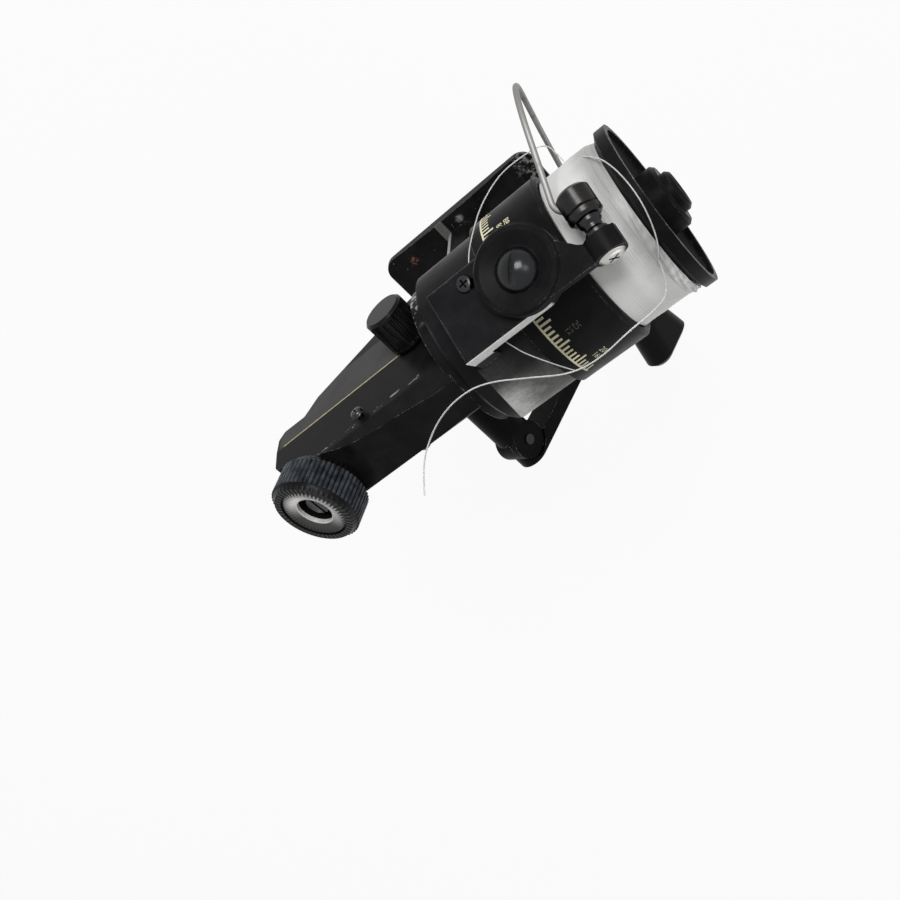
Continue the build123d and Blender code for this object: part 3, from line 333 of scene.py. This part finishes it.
def rotor_marks(f, color, metallic, roughness):
    """Bare side walls of the arms; ahead of a slanting edge, the cup in pale mottled metal with a
    painted reflection, lighter towards -Y; and a painted highlight along its rear rim.
    """
    edge_way, edge_at = (1.0, -0.044, -0.3455), (-7.84, 0, AXIS_H)
    out = f.along((0, SIDEWAYS, SIDEWAYS), (0, 0, AXIS_H))
    side = f.along((0, -SIDEWAYS, SIDEWAYS), (0, 0, AXIS_H))
    ahead = f.along(edge_way, edge_at)
    mottle = f.noise(1.4, 5.0, 0.65)
    cloud = f.noise(5.0, 3.0)
    wall = side.rise(13.8, 13.95) * out.rise(26.6, 27.2)
    # Painted reflection on the cup: strongest at the slanting edge, fading forward, and lighter towards
    # -Y where the cup faces the bright floor.
    fade = 1 - (ahead + cloud * 8.0).rise(4.0, 17.0)
    low = (cloud * 4.0 - f.along(CAPWARD)).rise(2.5, 13.0)
    cup = side.rise(13.2, 14.4) * (1 - out.rise(26.4, 26.8)) * ahead.rise(0.0, 0.3)
    # Painted highlight: a light strip along the cup's rear rim, as if it caught the light.
    rim_highlight = (1 - ahead.rise(-8.0, -7.0)) * f.along(CAPWARD).rise(24.0, 25.0)
    rim_highlight = rim_highlight * mottle.rise(0.35, 0.5) * 0.8
    cup_bare_and_reflection = cup * (fade * 0.6 + 0.15) * (low * 1.35 + 0.10) * (mottle * 0.5 + 0.75)
    bare_and_painted_light = (cup_bare_and_reflection + wall + rim_highlight).clamped()
    color = f.mix(bare_and_painted_light, color, f.mix(mottle.rise(0.3, 0.7), (0.55, 0.55, 0.53), (0.70, 0.70, 0.68)))
    color = f.mix(wall, color, f.mix(mottle.rise(0.3, 0.7), (0.80, 0.80, 0.78), (0.95, 0.95, 0.92)))
    return color, (metallic + bare_and_painted_light * 0.2).clamped(), roughness + bare_and_painted_light * 0.18


def thread_finish():
    """Clear nylon line in bulk: silky, with painted shade greying it towards +Y, where the turns fall
    away to the lip, and at its rear end.
    """
    f = Finish("wound_line")
    x, y = f.along(AHEAD), f.along(CAPWARD)
    bands = f.noise(1.0, 3.0, 0.5, (0.9, 0.05, 0.05))
    cloud = f.noise(8.0, 3.0)
    color = f.mix(bands, (0.84, 0.84, 0.82), (0.93, 0.93, 0.91))
    color = f.mix(cloud.rise(0.50, 0.80) * 0.3, color, (0.60, 0.60, 0.58))
    # Painted shade: grey near the lip on the +Y side, greyer towards +Y all over, and darker where the
    # rear end meets the skirt.
    shade = (x + cloud * 3.0).rise(WIND_FRONT - 8.0, WIND_FRONT - 1.0) * y.rise(-14.0, 2.0)
    color = f.mix(y.rise(6.0, 22.0) * 0.6, color, (0.50, 0.50, 0.49))
    color = f.mix(shade * 0.9, color, (0.30, 0.30, 0.29))
    color = f.mix((1 - x.rise(WIND_REAR, WIND_REAR + 1.6)) * 0.4, color, (0.25, 0.25, 0.24))
    return f.shade(Base_Color=color, Roughness=bands * 0.15 + 0.34, Normal=f.bump(bands, 0.015),
                   Sheen_Weight=0.1, Sheen_Roughness=0.4)


def strand_finish():
    """A single strand of clear nylon line."""
    f = Finish("clear_line")
    dust = f.noise(1.5, 3.0)
    color = f.mix(dust, (0.62, 0.62, 0.60), (0.86, 0.86, 0.84))
    return f.shade(Base_Color=color, Roughness=dust * 0.15 + 0.12, Transmission_Weight=0.35, IOR=1.5)


def knob_polar(f):
    """Distance from the drag knob's axis in millimetres, and 0 to 1 across each of its teeth."""
    u, v = f.along(CAPWARD, KNOB_AT), f.along(KNOB_SIDE, KNOB_AT)
    teeth = (v.maths("ARCTAN2", u) * KNOB_TEETH).maths("SINE") * 0.5 + 0.5
    return (u * u + v * v) ** 0.5, teeth


def knob_finish():
    """Black moulding with a painted bluish highlight along its rib crests, in patches, and shallow
    teeth round its front.
    """
    f = Finish("knob_black")
    reach, teeth = knob_polar(f)
    patches = f.noise(3.0, 3.0)
    # Painted highlight: the rib crests are painted bluish grey.
    crest_highlight = reach.rise(*KNOB_RIM_R) * (patches.rise(0.35, 0.65) * 0.7 + 0.3)
    front = 1 - reach.rise(*KNOB_FRONT_R)
    color = f.mix(patches, (0.0026, 0.0027, 0.0030), (0.0050, 0.0052, 0.0056))
    color = f.mix(crest_highlight, color, (0.052, 0.059, 0.071))
    color = f.mix(front * teeth * 0.4, color, (0.016, 0.016, 0.017))
    return f.shade(Base_Color=color, Roughness=patches * 0.1 + 0.26,
                   Normal=f.bump(front * teeth, 0.12), Specular_IOR_Level=0.08)


def dish_finish():
    """Turned bright metal with painted shade on one side, its rim broken up by the knob's teeth."""
    f = Finish("dish")
    lit_way, shade_span = (0.60, 0.76, 0.26), (-5.5, 5.5)
    reach, teeth = knob_polar(f)
    groove = (reach * 18.0).maths("SINE") * 0.5 + 0.5
    patches = f.noise(2.5, 3.0)
    face = reach.rise(*DISH_BORE_R)
    color = f.mix(patches, (0.58, 0.57, 0.55), (0.78, 0.77, 0.75))
    # Painted shade: the side turned away from the light is painted near black.
    tarnish_and_shade = (1 - f.along(lit_way, KNOB_AT).rise(*shade_span)) * face
    color = f.mix(tarnish_and_shade * 0.95, color, (0.020, 0.020, 0.020))
    color = f.mix((reach + teeth * 1.3).rise(7.2, 11.2), color, (0.012, 0.012, 0.012))
    return f.shade(Base_Color=color, Metallic=face * 0.6 + 0.3, Roughness=patches * 0.08 + 0.28,
                   Normal=f.bump(groove, 0.02))


def gilt_finish(name, tone):
    """Printed marking, chipped through in places, dull and its numbers faded on one stretch."""
    f = Finish(name)
    numbers_x, faded_y, dull_y = (26.8, 27.0), (-6.5, 9.0), (-7.0, 11.0)
    chips = f.noise(0.45, 3.0, 0.6).rise(0.30, 0.37)
    patches = f.noise(3.0, 3.0)
    faded = f.along(AHEAD).rise(*numbers_x) * f.along(CAPWARD).band(*faded_y, 0.8)
    color = f.mix(patches, [c * 0.7 for c in tone], tone)
    dull = f.along(CAPWARD).band(*dull_y, 1.5)
    color = f.mix(dull * 0.55, color, [c * 0.22 for c in tone])
    return f.shade(Base_Color=color, Metallic=0.15, Roughness=patches * 0.2 + 0.3,
                   Alpha=chips * (1 - faded * 0.85))


CASE_BLACK = painted("case_black", (0.0062, 0.0062, 0.0066), 0.34, 1.0, 0.04, marks=case_marks)
ROTOR_BLACK = painted("rotor_black", (0.0066, 0.0066, 0.0076), 0.38, 1.0, 0.06, marks=rotor_marks)
SPOOL_BLACK = painted("spool_black", (0.0040, 0.0040, 0.0041), 0.36, 0.7, 0.05, grain=0.02)
BAIL_BLACK = painted("bail_black", (0.0058, 0.0058, 0.0064), 0.40, 0.5, 0.04)
DOME_BLACK = painted("dome_black", (0.0030, 0.0034, 0.0044), 0.21, 0.2, 0.30, grain=0.01)
CRANK_BLACK = painted("crank_black", (0.0028, 0.0028, 0.0030), 0.36, 0.5, 0.04)
GRIP_BLACK = plastic("grip_black", (0.0030, 0.0030, 0.0032), 0.34, 0.08)
CAP_BLACK = plastic("cap_black", (0.0030, 0.0030, 0.0032), 0.20, 0.10, depth=0.01)
KNOB_BLACK = knob_finish()
COLLAR_BLACK = metal("collar_black", (0.030, 0.029, 0.029), 0.26, grain=(0.1, 1, 1), size=0.4)
STEEL = metal("steel", (0.56, 0.55, 0.53), 0.34, grain=(0.2, 1, 1))
CHROME = metal("chrome", (0.40, 0.39, 0.38), 0.32, size=1.2)
ROLLER_STEEL = metal("roller_steel", (0.035, 0.035, 0.037), 0.26, size=0.8)
WIRE_STEEL = metal("wire_steel", (0.29, 0.285, 0.275), 0.56, size=0.5, tarnish_and_shade=(0.08, 0.07, 0.06))
BRASS = metal("brass", (0.60, 0.44, 0.20), 0.34)
BRONZE = metal("bronze", (0.42, 0.28, 0.15), 0.42)
ZINC = metal("zinc", (0.46, 0.46, 0.47), 0.46, size=1.0, tarnish_and_shade=(0.12, 0.12, 0.12), depth=0.02)
SCREW_BLACK = metal("screw_black", (0.040, 0.040, 0.043), 0.22, size=0.4)
SCREW_BRIGHT = metal("screw_bright", (0.50, 0.49, 0.47), 0.32, size=0.5)
# Painted shade: near-black metal for the insides of the cross recesses.
SCREW_PIT_SHADE = metal("screw_pit_shade", (0.010, 0.010, 0.010), 0.5, size=0.5)
DISH = dish_finish()
WOUND_LINE = thread_finish()
CLEAR_LINE = strand_finish()
GILT = gilt_finish("gilt_print", (0.82, 0.77, 0.52))

FINISHES = {
    CASE_BLACK: ("housing", "side_cover"),
    ROTOR_BLACK: ("rotor", "arm_cover_near", "arm_cover_far"),
    BAIL_BLACK: ("bail_arm", "bail_holder"),
    DOME_BLACK: ("pivot_screw_near", "pivot_screw_far"),
    SPOOL_BLACK: ("spool", "spool_cap", "spool_button"),
    GRIP_BLACK: ("grip",),
    CAP_BLACK: ("tension_cap",),
    KNOB_BLACK: ("drag_knob",),
    CRANK_BLACK: ("crank_axle", "crank_arm"),
    COLLAR_BLACK: ("wire_collar",),
    SCREW_BLACK: ("elbow_pin", "drag_stem"),
    STEEL: ("grip_pin", "main_shaft", "shaft_ring", "rotor_bearing"),
    CHROME: ("spool_washer",),
    ROLLER_STEEL: ("line_roller",),
    WIRE_STEEL: ("bail_wire",),
    BRASS: ("pinion", "rotor_nut"),
    BRONZE: ("crank_bush_near", "crank_bush_far"),
    ZINC: ("drive_gear", "slider"),
    DISH: ("knob_ring",),
}
for finish, names in FINISHES.items():
    for name in names:
        held = NODES[name].data.materials
        if not held:
            held.append(finish)
        for i in range(len(held)):
            held[i] = finish


# Making meshes and pieces

def added(name, data):
    """New object in the scene."""
    made = bpy.data.objects.new(name, data)
    SCENE.collection.objects.link(made)
    return made


def carried(made, body, slot, *nodes):
    """Makes a piece ride on a body; it may stand for nodes. The slot is not used."""
    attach(made, body)
    if nodes:
        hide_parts(*nodes)
    return made


def piece(name, mesh, finish, body, slot, *nodes, smooth=True):
    """Puts a mesh in the scene as a piece of one finish."""
    made = added(name, mesh)
    mesh.materials.clear()
    mesh.materials.append(finish)
    for face in mesh.polygons:
        face.use_smooth = smooth
    return carried(made, body, slot, *nodes)


def softened(made):
    """Smooth shading except over edges sharper than 35 degrees."""
    made.data.polygons.foreach_set("use_smooth", [True] * len(made.data.polygons))
    made.data.set_sharp_from_angle(angle=math.radians(35))
    return made


def round_z(radius, turn, height):
    """Point at a radius and a turn in radians round z."""
    return radius * math.cos(turn), radius * math.sin(turn), height


def corner(bm, spot):
    """New corner of a mesh at a spot in millimetres."""
    return bm.verts.new([c * MM for c in spot])


def finished(bm, name, frame_of=None):
    """Mesh from a bmesh; with a frame, its faces turn outwards and it moves into that frame."""
    if frame_of is not None:
        bmesh.ops.recalc_face_normals(bm, faces=bm.faces)
        bmesh.ops.transform(bm, matrix=frame_of, verts=bm.verts)
    mesh = bpy.data.meshes.new(name)
    bm.to_mesh(mesh)
    bm.free()
    return mesh


def turned(frame_of, profile, count):
    """Mesh turned about the frame's z, from (along, radius) points; a radius of 0 closes an end."""
    bm = bmesh.new()
    rings = []
    for along, radius in profile:
        turns = [2 * math.pi * i / count for i in range(count)] if radius else [0.0]
        rings.append([corner(bm, round_z(radius, turn, along)) for turn in turns])
    for a, b in zip(rings, rings[1:]):
        for i in range(count):
            j = (i + 1) % count
            corners = [a[i % len(a)], a[j % len(a)], b[j % len(b)], b[i % len(b)]]
            corners = list(dict.fromkeys(corners))
            if len(corners) > 2:
                bm.faces.new(corners)
    return finished(bm, "turned", frame_of)


def prism(frame_of, outline, low, high, taper):
    """Upright prism over an outline in the frame's x and y; taper shrinks its low end."""
    bm = bmesh.new()
    bottom = [corner(bm, (x * taper, y * taper, low)) for x, y in outline]
    top = [corner(bm, (x, y, high)) for x, y in outline]
    count = len(outline)
    for i in range(count):
        j = (i + 1) % count
        bm.faces.new((bottom[i], bottom[j], top[j], top[i]))
    bm.faces.new(bottom[::-1])
    bm.faces.new(top)
    return finished(bm, "prism", frame_of)


def cut(mesh, tool):
    """The mesh with a tool's mesh cut out of it."""
    work, knife = added("work", mesh), added("knife", tool)
    change = work.modifiers.new("cut", "BOOLEAN")
    change.operation = "DIFFERENCE"
    change.solver = "EXACT"
    change.object = knife
    depsgraph = bpy.context.evaluated_depsgraph_get()
    result = bpy.data.meshes.new_from_object(work.evaluated_get(depsgraph))
    for made in (work, knife):
        bpy.data.objects.remove(made)
    return result


# Screws

def cross_outline(reach, width, turn):
    """Outline of a cross recess, turned by some degrees."""
    half = width / 2
    arm = [(reach, -half), (reach, half), (half, half)]
    points = []
    for quarter in range(4):
        angle = math.radians(turn + 90 * quarter)
        c, s = math.cos(angle), math.sin(angle)
        points += [(x * c - y * s, x * s + y * c) for x, y in arm]
    return points


def cross_screw(frame_of, radius, height, shank, turn, node, body, finish, slot):
    """Pan-headed screw with a cross recess and a plain shank, in place of a plain one."""
    step = 0.02
    head = [(-shank, 0), (-shank, radius * 0.4), (-step, radius * 0.4), (-step, radius),
            (height * 0.12, radius)]
    dome = [(height * (1 - share ** 2.4), radius * (0.62 + 0.38 * share))
            for share in (0.93, 0.8, 0.6, 0.35, 0.0)]
    flat = [(height, radius * 0.3), (height, 0)]
    recess = prism(frame_of, cross_outline(radius * 0.66, radius * 0.24, turn),
                   height * 0.25, height * 2, 0.62)
    mesh = cut(turned(frame_of, head + dome + flat, 48), recess)
    made = piece(node + "_head", mesh, finish, body, slot, node, smooth=False)
    # The faces inside the cross recess take the painted shade.
    mesh.materials.append(SCREW_PIT_SHADE)
    into = frame_of.inverted()
    for face in mesh.polygons:
        spot = into @ face.center / MM
        if math.hypot(spot.x, spot.y) < radius * 0.7 and step < spot.z < height * 0.88:
            face.material_index = 1
    return softened(made)


for node in ("cover_screw_1", "cover_screw_2", "cover_screw_3", "case_screw"):
    middle = [(a + b) / 2 / MM for a, b in zip(*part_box(node))]
    outward, side = (1, BODY_HALF) if node == "case_screw" else (-1, -CRANK_HALF)
    seat = place((middle[0], side, middle[2]), (0, outward, 0), AHEAD)
    cross_screw(seat, 2.3, 1.3, 4.0, 25, node, "body", SCREW_BLACK, "collar_black")
for node, arm, side in (("arm_screw_near", NEAR_ARM, ARM_SCREW_SIDE),
                        ("arm_screw_far", FAR_ARM, -ARM_SCREW_SIDE)):
    seat = arm @ Matrix.Translation(Vector((ARM_SCREW_X, side, ARM_FACE)) * MM)
    cross_screw(seat, 2.6, 1.5, 5.8, 8, node, "rotor", SCREW_BLACK, "collar_black")
head_seat = ROLLER @ Matrix.Translation(Vector((0, 0, -ROLLER_HEAD)) * MM)
head_seat = head_seat @ Matrix.Rotation(math.pi, 4, "X")
cross_screw(head_seat, 3.7, 1.0, ROLLER_HEAD, 30, "roller_screw", "bail", SCREW_BRIGHT, "chrome")


# Wound line

def wound_radius(x):
    """Radius of the wound line, which falls away towards the lip and rounds off at the rear."""
    from_lip, from_rear = WIND_FRONT - x, x - WIND_REAR
    radius = WIND_R
    if from_lip < WIND_TAPER:
        radius -= (WIND_R - WIND_FRONT_R) * (1 - from_lip / WIND_TAPER)
    if from_rear < WIND_ROUND:
        radius -= WIND_DROP * (1 - from_rear / WIND_ROUND)
    return radius


def ragged(x, turn):
    """Height of the uneven edge that the turns leave under the lip, on one side of the spool."""
    near = max(0.0, min(1.0, (x - WIND_FRONT + 3.2) / 1.6)) * max(0.0, math.cos(turn - 2.2))
    return near * (0.9 + 0.5 * math.sin(turn * 31 + 2.0 * x) * math.sin(turn * 17 - 1.3 * x))


def winding():
    """Turns of line laid side by side and crossing at a slight angle, as one closed mesh."""
    pitch, per_pitch, count, depth = 0.42, 4, 180, 0.028
    dice = random.Random(7)
    swells = [(dice.uniform(0.2, 1.3), dice.randint(1, 3), dice.uniform(0, 6.3),
               dice.uniform(0.02, 0.07)) for _ in range(9)]
    turns = [2 * math.pi * i / count for i in range(count)]

    def laid_radius(x, turn):
        swell = sum(a * math.sin(k * x + n * turn + p) for k, n, p, a in swells)
        laid = abs(math.sin(math.pi * x / pitch + turn / 2 + 0.5 * swell))
        crossing = abs(math.sin(math.pi * x / (pitch * 1.9) - turn * 1.5 + 1.0)) ** 6
        return wound_radius(x) + depth * (laid + 0.5 * crossing) + swell * 0.8 + ragged(x, turn)

    rear, length = WIND_REAR + END_GAP, WIND_FRONT - WIND_REAR - 2 * END_GAP
    rows = int((WIND_FRONT - WIND_REAR) / pitch * per_pitch)
    bm = bmesh.new()
    rings = [[corner(bm, round_z(laid_radius(x, turn), turn, x)) for turn in turns]
             for x in (rear + length * row / rows for row in range(rows + 1))]
    for radius, x in ((LIP_FOOT_R, LIP_FOOT_X), (ARBOR_R, LIP_FOOT_X - 1.0), (ARBOR_R, rear)):
        rings.append([corner(bm, round_z(radius, turn, x)) for turn in turns])
    for a, b in zip(rings, rings[1:] + rings[:1]):
        for i in range(count):
            j = (i + 1) % count
            bm.faces.new((a[i], a[j], b[j], b[i]))
    return finished(bm, "winding", MAIN)


def top_turns():
    """Last turns of the winding, a little proud of it, as one unbroken strand."""
    turns, steps, sunk = 20, 40, 0.11
    points = []
    for i in range(turns * steps + 1):
        done = i / (turns * steps)
        sweep = abs((done * 2.0) % 2.0 - 1.0)
        x = WIND_REAR + 2.0 + (WIND_FRONT - WIND_REAR - 3.0) * (1 - sweep)
        radius = wound_radius(x) - sunk + 0.04 * math.sin(done * 61)
        turn = 2 * math.pi * i / steps
        points.append(round_z(radius, turn, x + 0.25 * math.sin(turn * 2.0)))
    return points


def sprung_turn():
    """Part of a turn that has sprung forward over the lip's rim: degrees from +Y, X, radius."""
    route = ((98, 55.0, 24.2), (90, 57.0, 25.4), (82, 59.4, 26.3), (70, 61.4, 26.35),
             (55, 62.6, 26.35), (38, 62.2, 26.35), (22, 60.4, 26.3), (8, 57.4, 25.2), (-8, 54.0, 24.6))
    return [round_z(radius, math.radians(turn), x) for turn, x, radius in route]


def strand(name, points, thickness, frame_of=Matrix(), resolution=2):
    """Smooth NURBS strand of line through points in millimetres."""
    curve = bpy.data.curves.new(name, "CURVE")
    curve.dimensions = "3D"
    curve.bevel_depth = thickness / 2 * MM
    curve.bevel_resolution = resolution
    curve.use_fill_caps = True
    spline = curve.splines.new("NURBS")
    spline.points.add(len(points) - 1)
    for point, spot in zip(spline.points, points):
        point.co = (*(frame_of @ (Vector(spot) * MM)), 1.0)
    spline.order_u = 3
    spline.use_endpoint_u = True
    spline.resolution_u = 6
    curve.materials.append(CLEAR_LINE)
    return added(name, curve)


piece("winding", winding(), WOUND_LINE, "spool", "line_clear", "line_core")
turns = strand("last_turns", top_turns(), 0.40, MAIN, 1)
turns.data.splines[0].resolution_u = 2
turns.data.materials[0] = WOUND_LINE
carried(turns, "spool", "line_clear", "line_turns")
carried(strand("sprung_turn", sprung_turn(), 0.42, MAIN), "spool", "line_clear")

# A slack bight caught by the near arm: over the skirt's scale, and out again across the cup
CAUGHT = {
    "caught_bight": (
        (50.0, 23.6, 69.4), (49.6, 27.5, 67.8), (48.6, 30.2, 67.2), (43.7, 31.5, 67.1),
        (35.6, 31.9, 67.0), (29.4, 30.4, 67.2), (24.5, 29.6, 72.4), (21.4, 28.3, 76.2),
        (18.3, 27.4, 83.6), (16.6, 26.2, 88.0), (14.6, 23.9, 92.2)),
    "caught_end": (
        (13.4, 8.9, 105.2), (14.2, 6.8, 105.9), (15.1, 3.8, 106.4), (16.8, 0.2, 106.7),
        (18.7, -4.2, 106.4), (20.3, -8.7, 105.2), (21.4, -12.0, 104.0)),
}
for name, route in CAUGHT.items():
    carried(strand(name, route, 0.36), "rotor", "line_clear")

# Loose end of the line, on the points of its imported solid
LOOSE_POINTS = (
    (57.0, -0.4, 103.7), (57.2, 0.7, 112.4), (56.2, 2.4, 124.4), (53.2, 6.6, 134.0), (46.6, 8.0, 137.0),
    (37.0, 6.4, 137.0), (29.0, 7.2, 136.0), (21.0, 10.6, 132.8), (9.2, 15.2, 128.0), (0.6, 15.6, 127.4),
    (-8.0, 12.6, 125.6), (-15.6, 8.6, 127.0), (-19.8, 5.0, 130.2), (-22.2, 1.8, 134.0),
)
LOOSE_D = 0.4
loose = carried(strand("loose_end", LOOSE_POINTS, LOOSE_D), "shaft", "line_clear", "loose_line")


# Scale printed on the spool's skirt

def on_skirt(x, turn):
    """Point just over the skirt: millimetres along X, degrees round it from +Y towards +Z."""
    radius = SKIRT_R + 0.05
    angle = math.radians(turn)
    return Vector((x, radius * math.cos(angle), AXIS_H + radius * math.sin(angle))) * MM


def printed_bar(bm, x_low, x_high, turn_low, turn_high):
    """One flat bar of the scale."""
    spots = ((x_low, turn_low), (x_low, turn_high), (x_high, turn_high), (x_high, turn_low))
    bm.faces.new([bm.verts.new(on_skirt(x, turn)) for x, turn in spots])


def flat_words(words, size):
    """Flat mesh of a few digits, centred on x."""
    curve = bpy.data.curves.new("numbers", "FONT")
    curve.body = words
    curve.size = size
    curve.align_x = "CENTER"
    curve.resolution_u = 2
    letters = added("numbers", curve)
    depsgraph = bpy.context.evaluated_depsgraph_get()
    flat = bpy.data.meshes.new_from_object(letters.evaluated_get(depsgraph))
    bpy.data.objects.remove(letters)
    return flat


def skirt_scale():
    """Comb of ticks round the skirt's rear, with two rows of plain numbers."""
    first, last, steps, tick_pitch, tick_half = -24.0, 128.0, 90, 3.4, 0.75
    ring_x, ring_end, tick_end, long_tick_end = 22.3, 22.9, 25.2, 26.4
    numbers_x, row_pitch, number_size = 27.3, 2.4, 2.6
    numbers = ((13.0, ("85", "88")), (52.0, ("110", "100")), (90.0, ("12", "25")),
               (119.0, ("160", "200")))
    bm = bmesh.new()
    for i in range(steps):
        low, high = (first + (last - first) * k / steps for k in (i, i + 1))
        printed_bar(bm, ring_x, ring_end, low, high)
    turn, tick = first, 0
    while turn < last:
        end = tick_end if tick % 5 else long_tick_end
        printed_bar(bm, ring_end, end, turn - tick_half, turn + tick_half)
        turn += tick_pitch
        tick += 1
    for middle, rows in numbers:
        for row, words in enumerate(rows):
            flat = flat_words(words, number_size)
            spots = [bm.verts.new(on_skirt(numbers_x + row * row_pitch + vertex.co.y,
                                           middle + math.degrees(vertex.co.x / SKIRT_R)))
                     for vertex in flat.vertices]
            for face in flat.polygons:
                bm.faces.new([spots[k] for k in face.vertices])
            bpy.data.meshes.remove(flat)
    bmesh.ops.remove_doubles(bm, verts=bm.verts, dist=0.0001 * MM)
    return finished(bm, "skirt_scale")


piece("skirt_scale", skirt_scale(), GILT, "spool", "spool_black", smooth=False)


# Floor, light and camera

def looked_at(f):
    """1 where the surroundings are seen, directly, in metal or through the line."""
    ray = f.node("ShaderNodeLightPath", {}, {})
    seen = Level(f, ray.outputs["Is Camera Ray"]) + Level(f, ray.outputs["Is Glossy Ray"])
    return (seen + Level(f, ray.outputs["Is Transmission Ray"])).clamped()


def floor_finish():
    """Pale floor that is seen as white and keeps a little of the reel's shadow."""
    f = Finish("floor")
    matt = f.node("ShaderNodeBsdfDiffuse", {}, {"Color": (0.80, 0.80, 0.80, 1.0)})
    glow = f.node("ShaderNodeEmission", {}, {"Color": WHITE, "Strength": 1.0})
    both = f.node("ShaderNodeMixShader", {},
                  {0: looked_at(f) * 0.93, 1: matt.outputs[0], 2: glow.outputs[0]})
    f.node("ShaderNodeOutputMaterial", {}, {0: both.outputs[0]})
    return f.material


FLOOR_HALF = 4.0         # metres
floor_mesh = bpy.data.meshes.new("floor")
floor_mesh.from_pydata([(-FLOOR_HALF, -FLOOR_HALF, 0), (FLOOR_HALF, -FLOOR_HALF, 0),
                        (FLOOR_HALF, FLOOR_HALF, 0), (-FLOOR_HALF, FLOOR_HALF, 0)], [], [(0, 1, 2, 3)])
floor_mesh.materials.append(floor_finish())
added("floor", floor_mesh)

world = bpy.data.worlds.new("studio")
SCENE.world = world
world.use_nodes = True
studio = Finish("studio", world.node_tree)
dim = studio.node("ShaderNodeBackground", {}, {"Color": WHITE, "Strength": 0.14})
bright = studio.node("ShaderNodeBackground", {}, {"Color": WHITE, "Strength": 1.0})
around = studio.node("ShaderNodeMixShader", {},
                     {0: looked_at(studio), 1: dim.outputs[0], 2: bright.outputs[0]})
studio.node("ShaderNodeOutputWorld", {}, {0: around.outputs[0]})


def softbox(name, toward, distance, size, power):
    """Square soft light that looks at the reel from a direction; distance and size in metres."""
    middle = Vector((0.0, 0.0, AXIS_H)) * MM
    data = bpy.data.lights.new(name, "AREA")
    data.size = size
    data.energy = power
    lamp = added(name, data)
    lamp.location = middle + Vector(toward).normalized() * distance
    lamp.rotation_mode = "QUATERNION"
    lamp.rotation_quaternion = (middle - lamp.location).to_track_quat("-Z", "Y")


softbox("key", (0.35, 0.9, 0.60), 1.0, 0.45, 8.2)
softbox("over", (0.75, 0.45, 0.9), 1.2, 0.4, 2.0)
softbox("fill", (0.3, -1.0, 0.4), 1.2, 0.8, 3.0)

# Camera, fitted to the photograph: where it stands, and its right, up and back directions
EYE = (88.35642, 126.40089, 336.26331)
RIGHT = (0.74912, -0.66173, 0.03058)
UP = (0.54336, 0.58739, -0.59977)
BACK = (0.37893, 0.46592, 0.79958)
camera_data = bpy.data.cameras.new("camera")
camera_data.sensor_width = 36.0
camera_data.lens = 40.3895
camera_data.clip_start = 0.01
camera_data.clip_end = 20.0
camera = added("camera", camera_data)
facing = Matrix((RIGHT, UP, BACK)).transposed().to_4x4()
camera.matrix_world = Matrix.Translation(Vector(EYE) * MM) @ facing
SCENE.camera = camera
SCENE.view_settings.view_transform = "Standard"
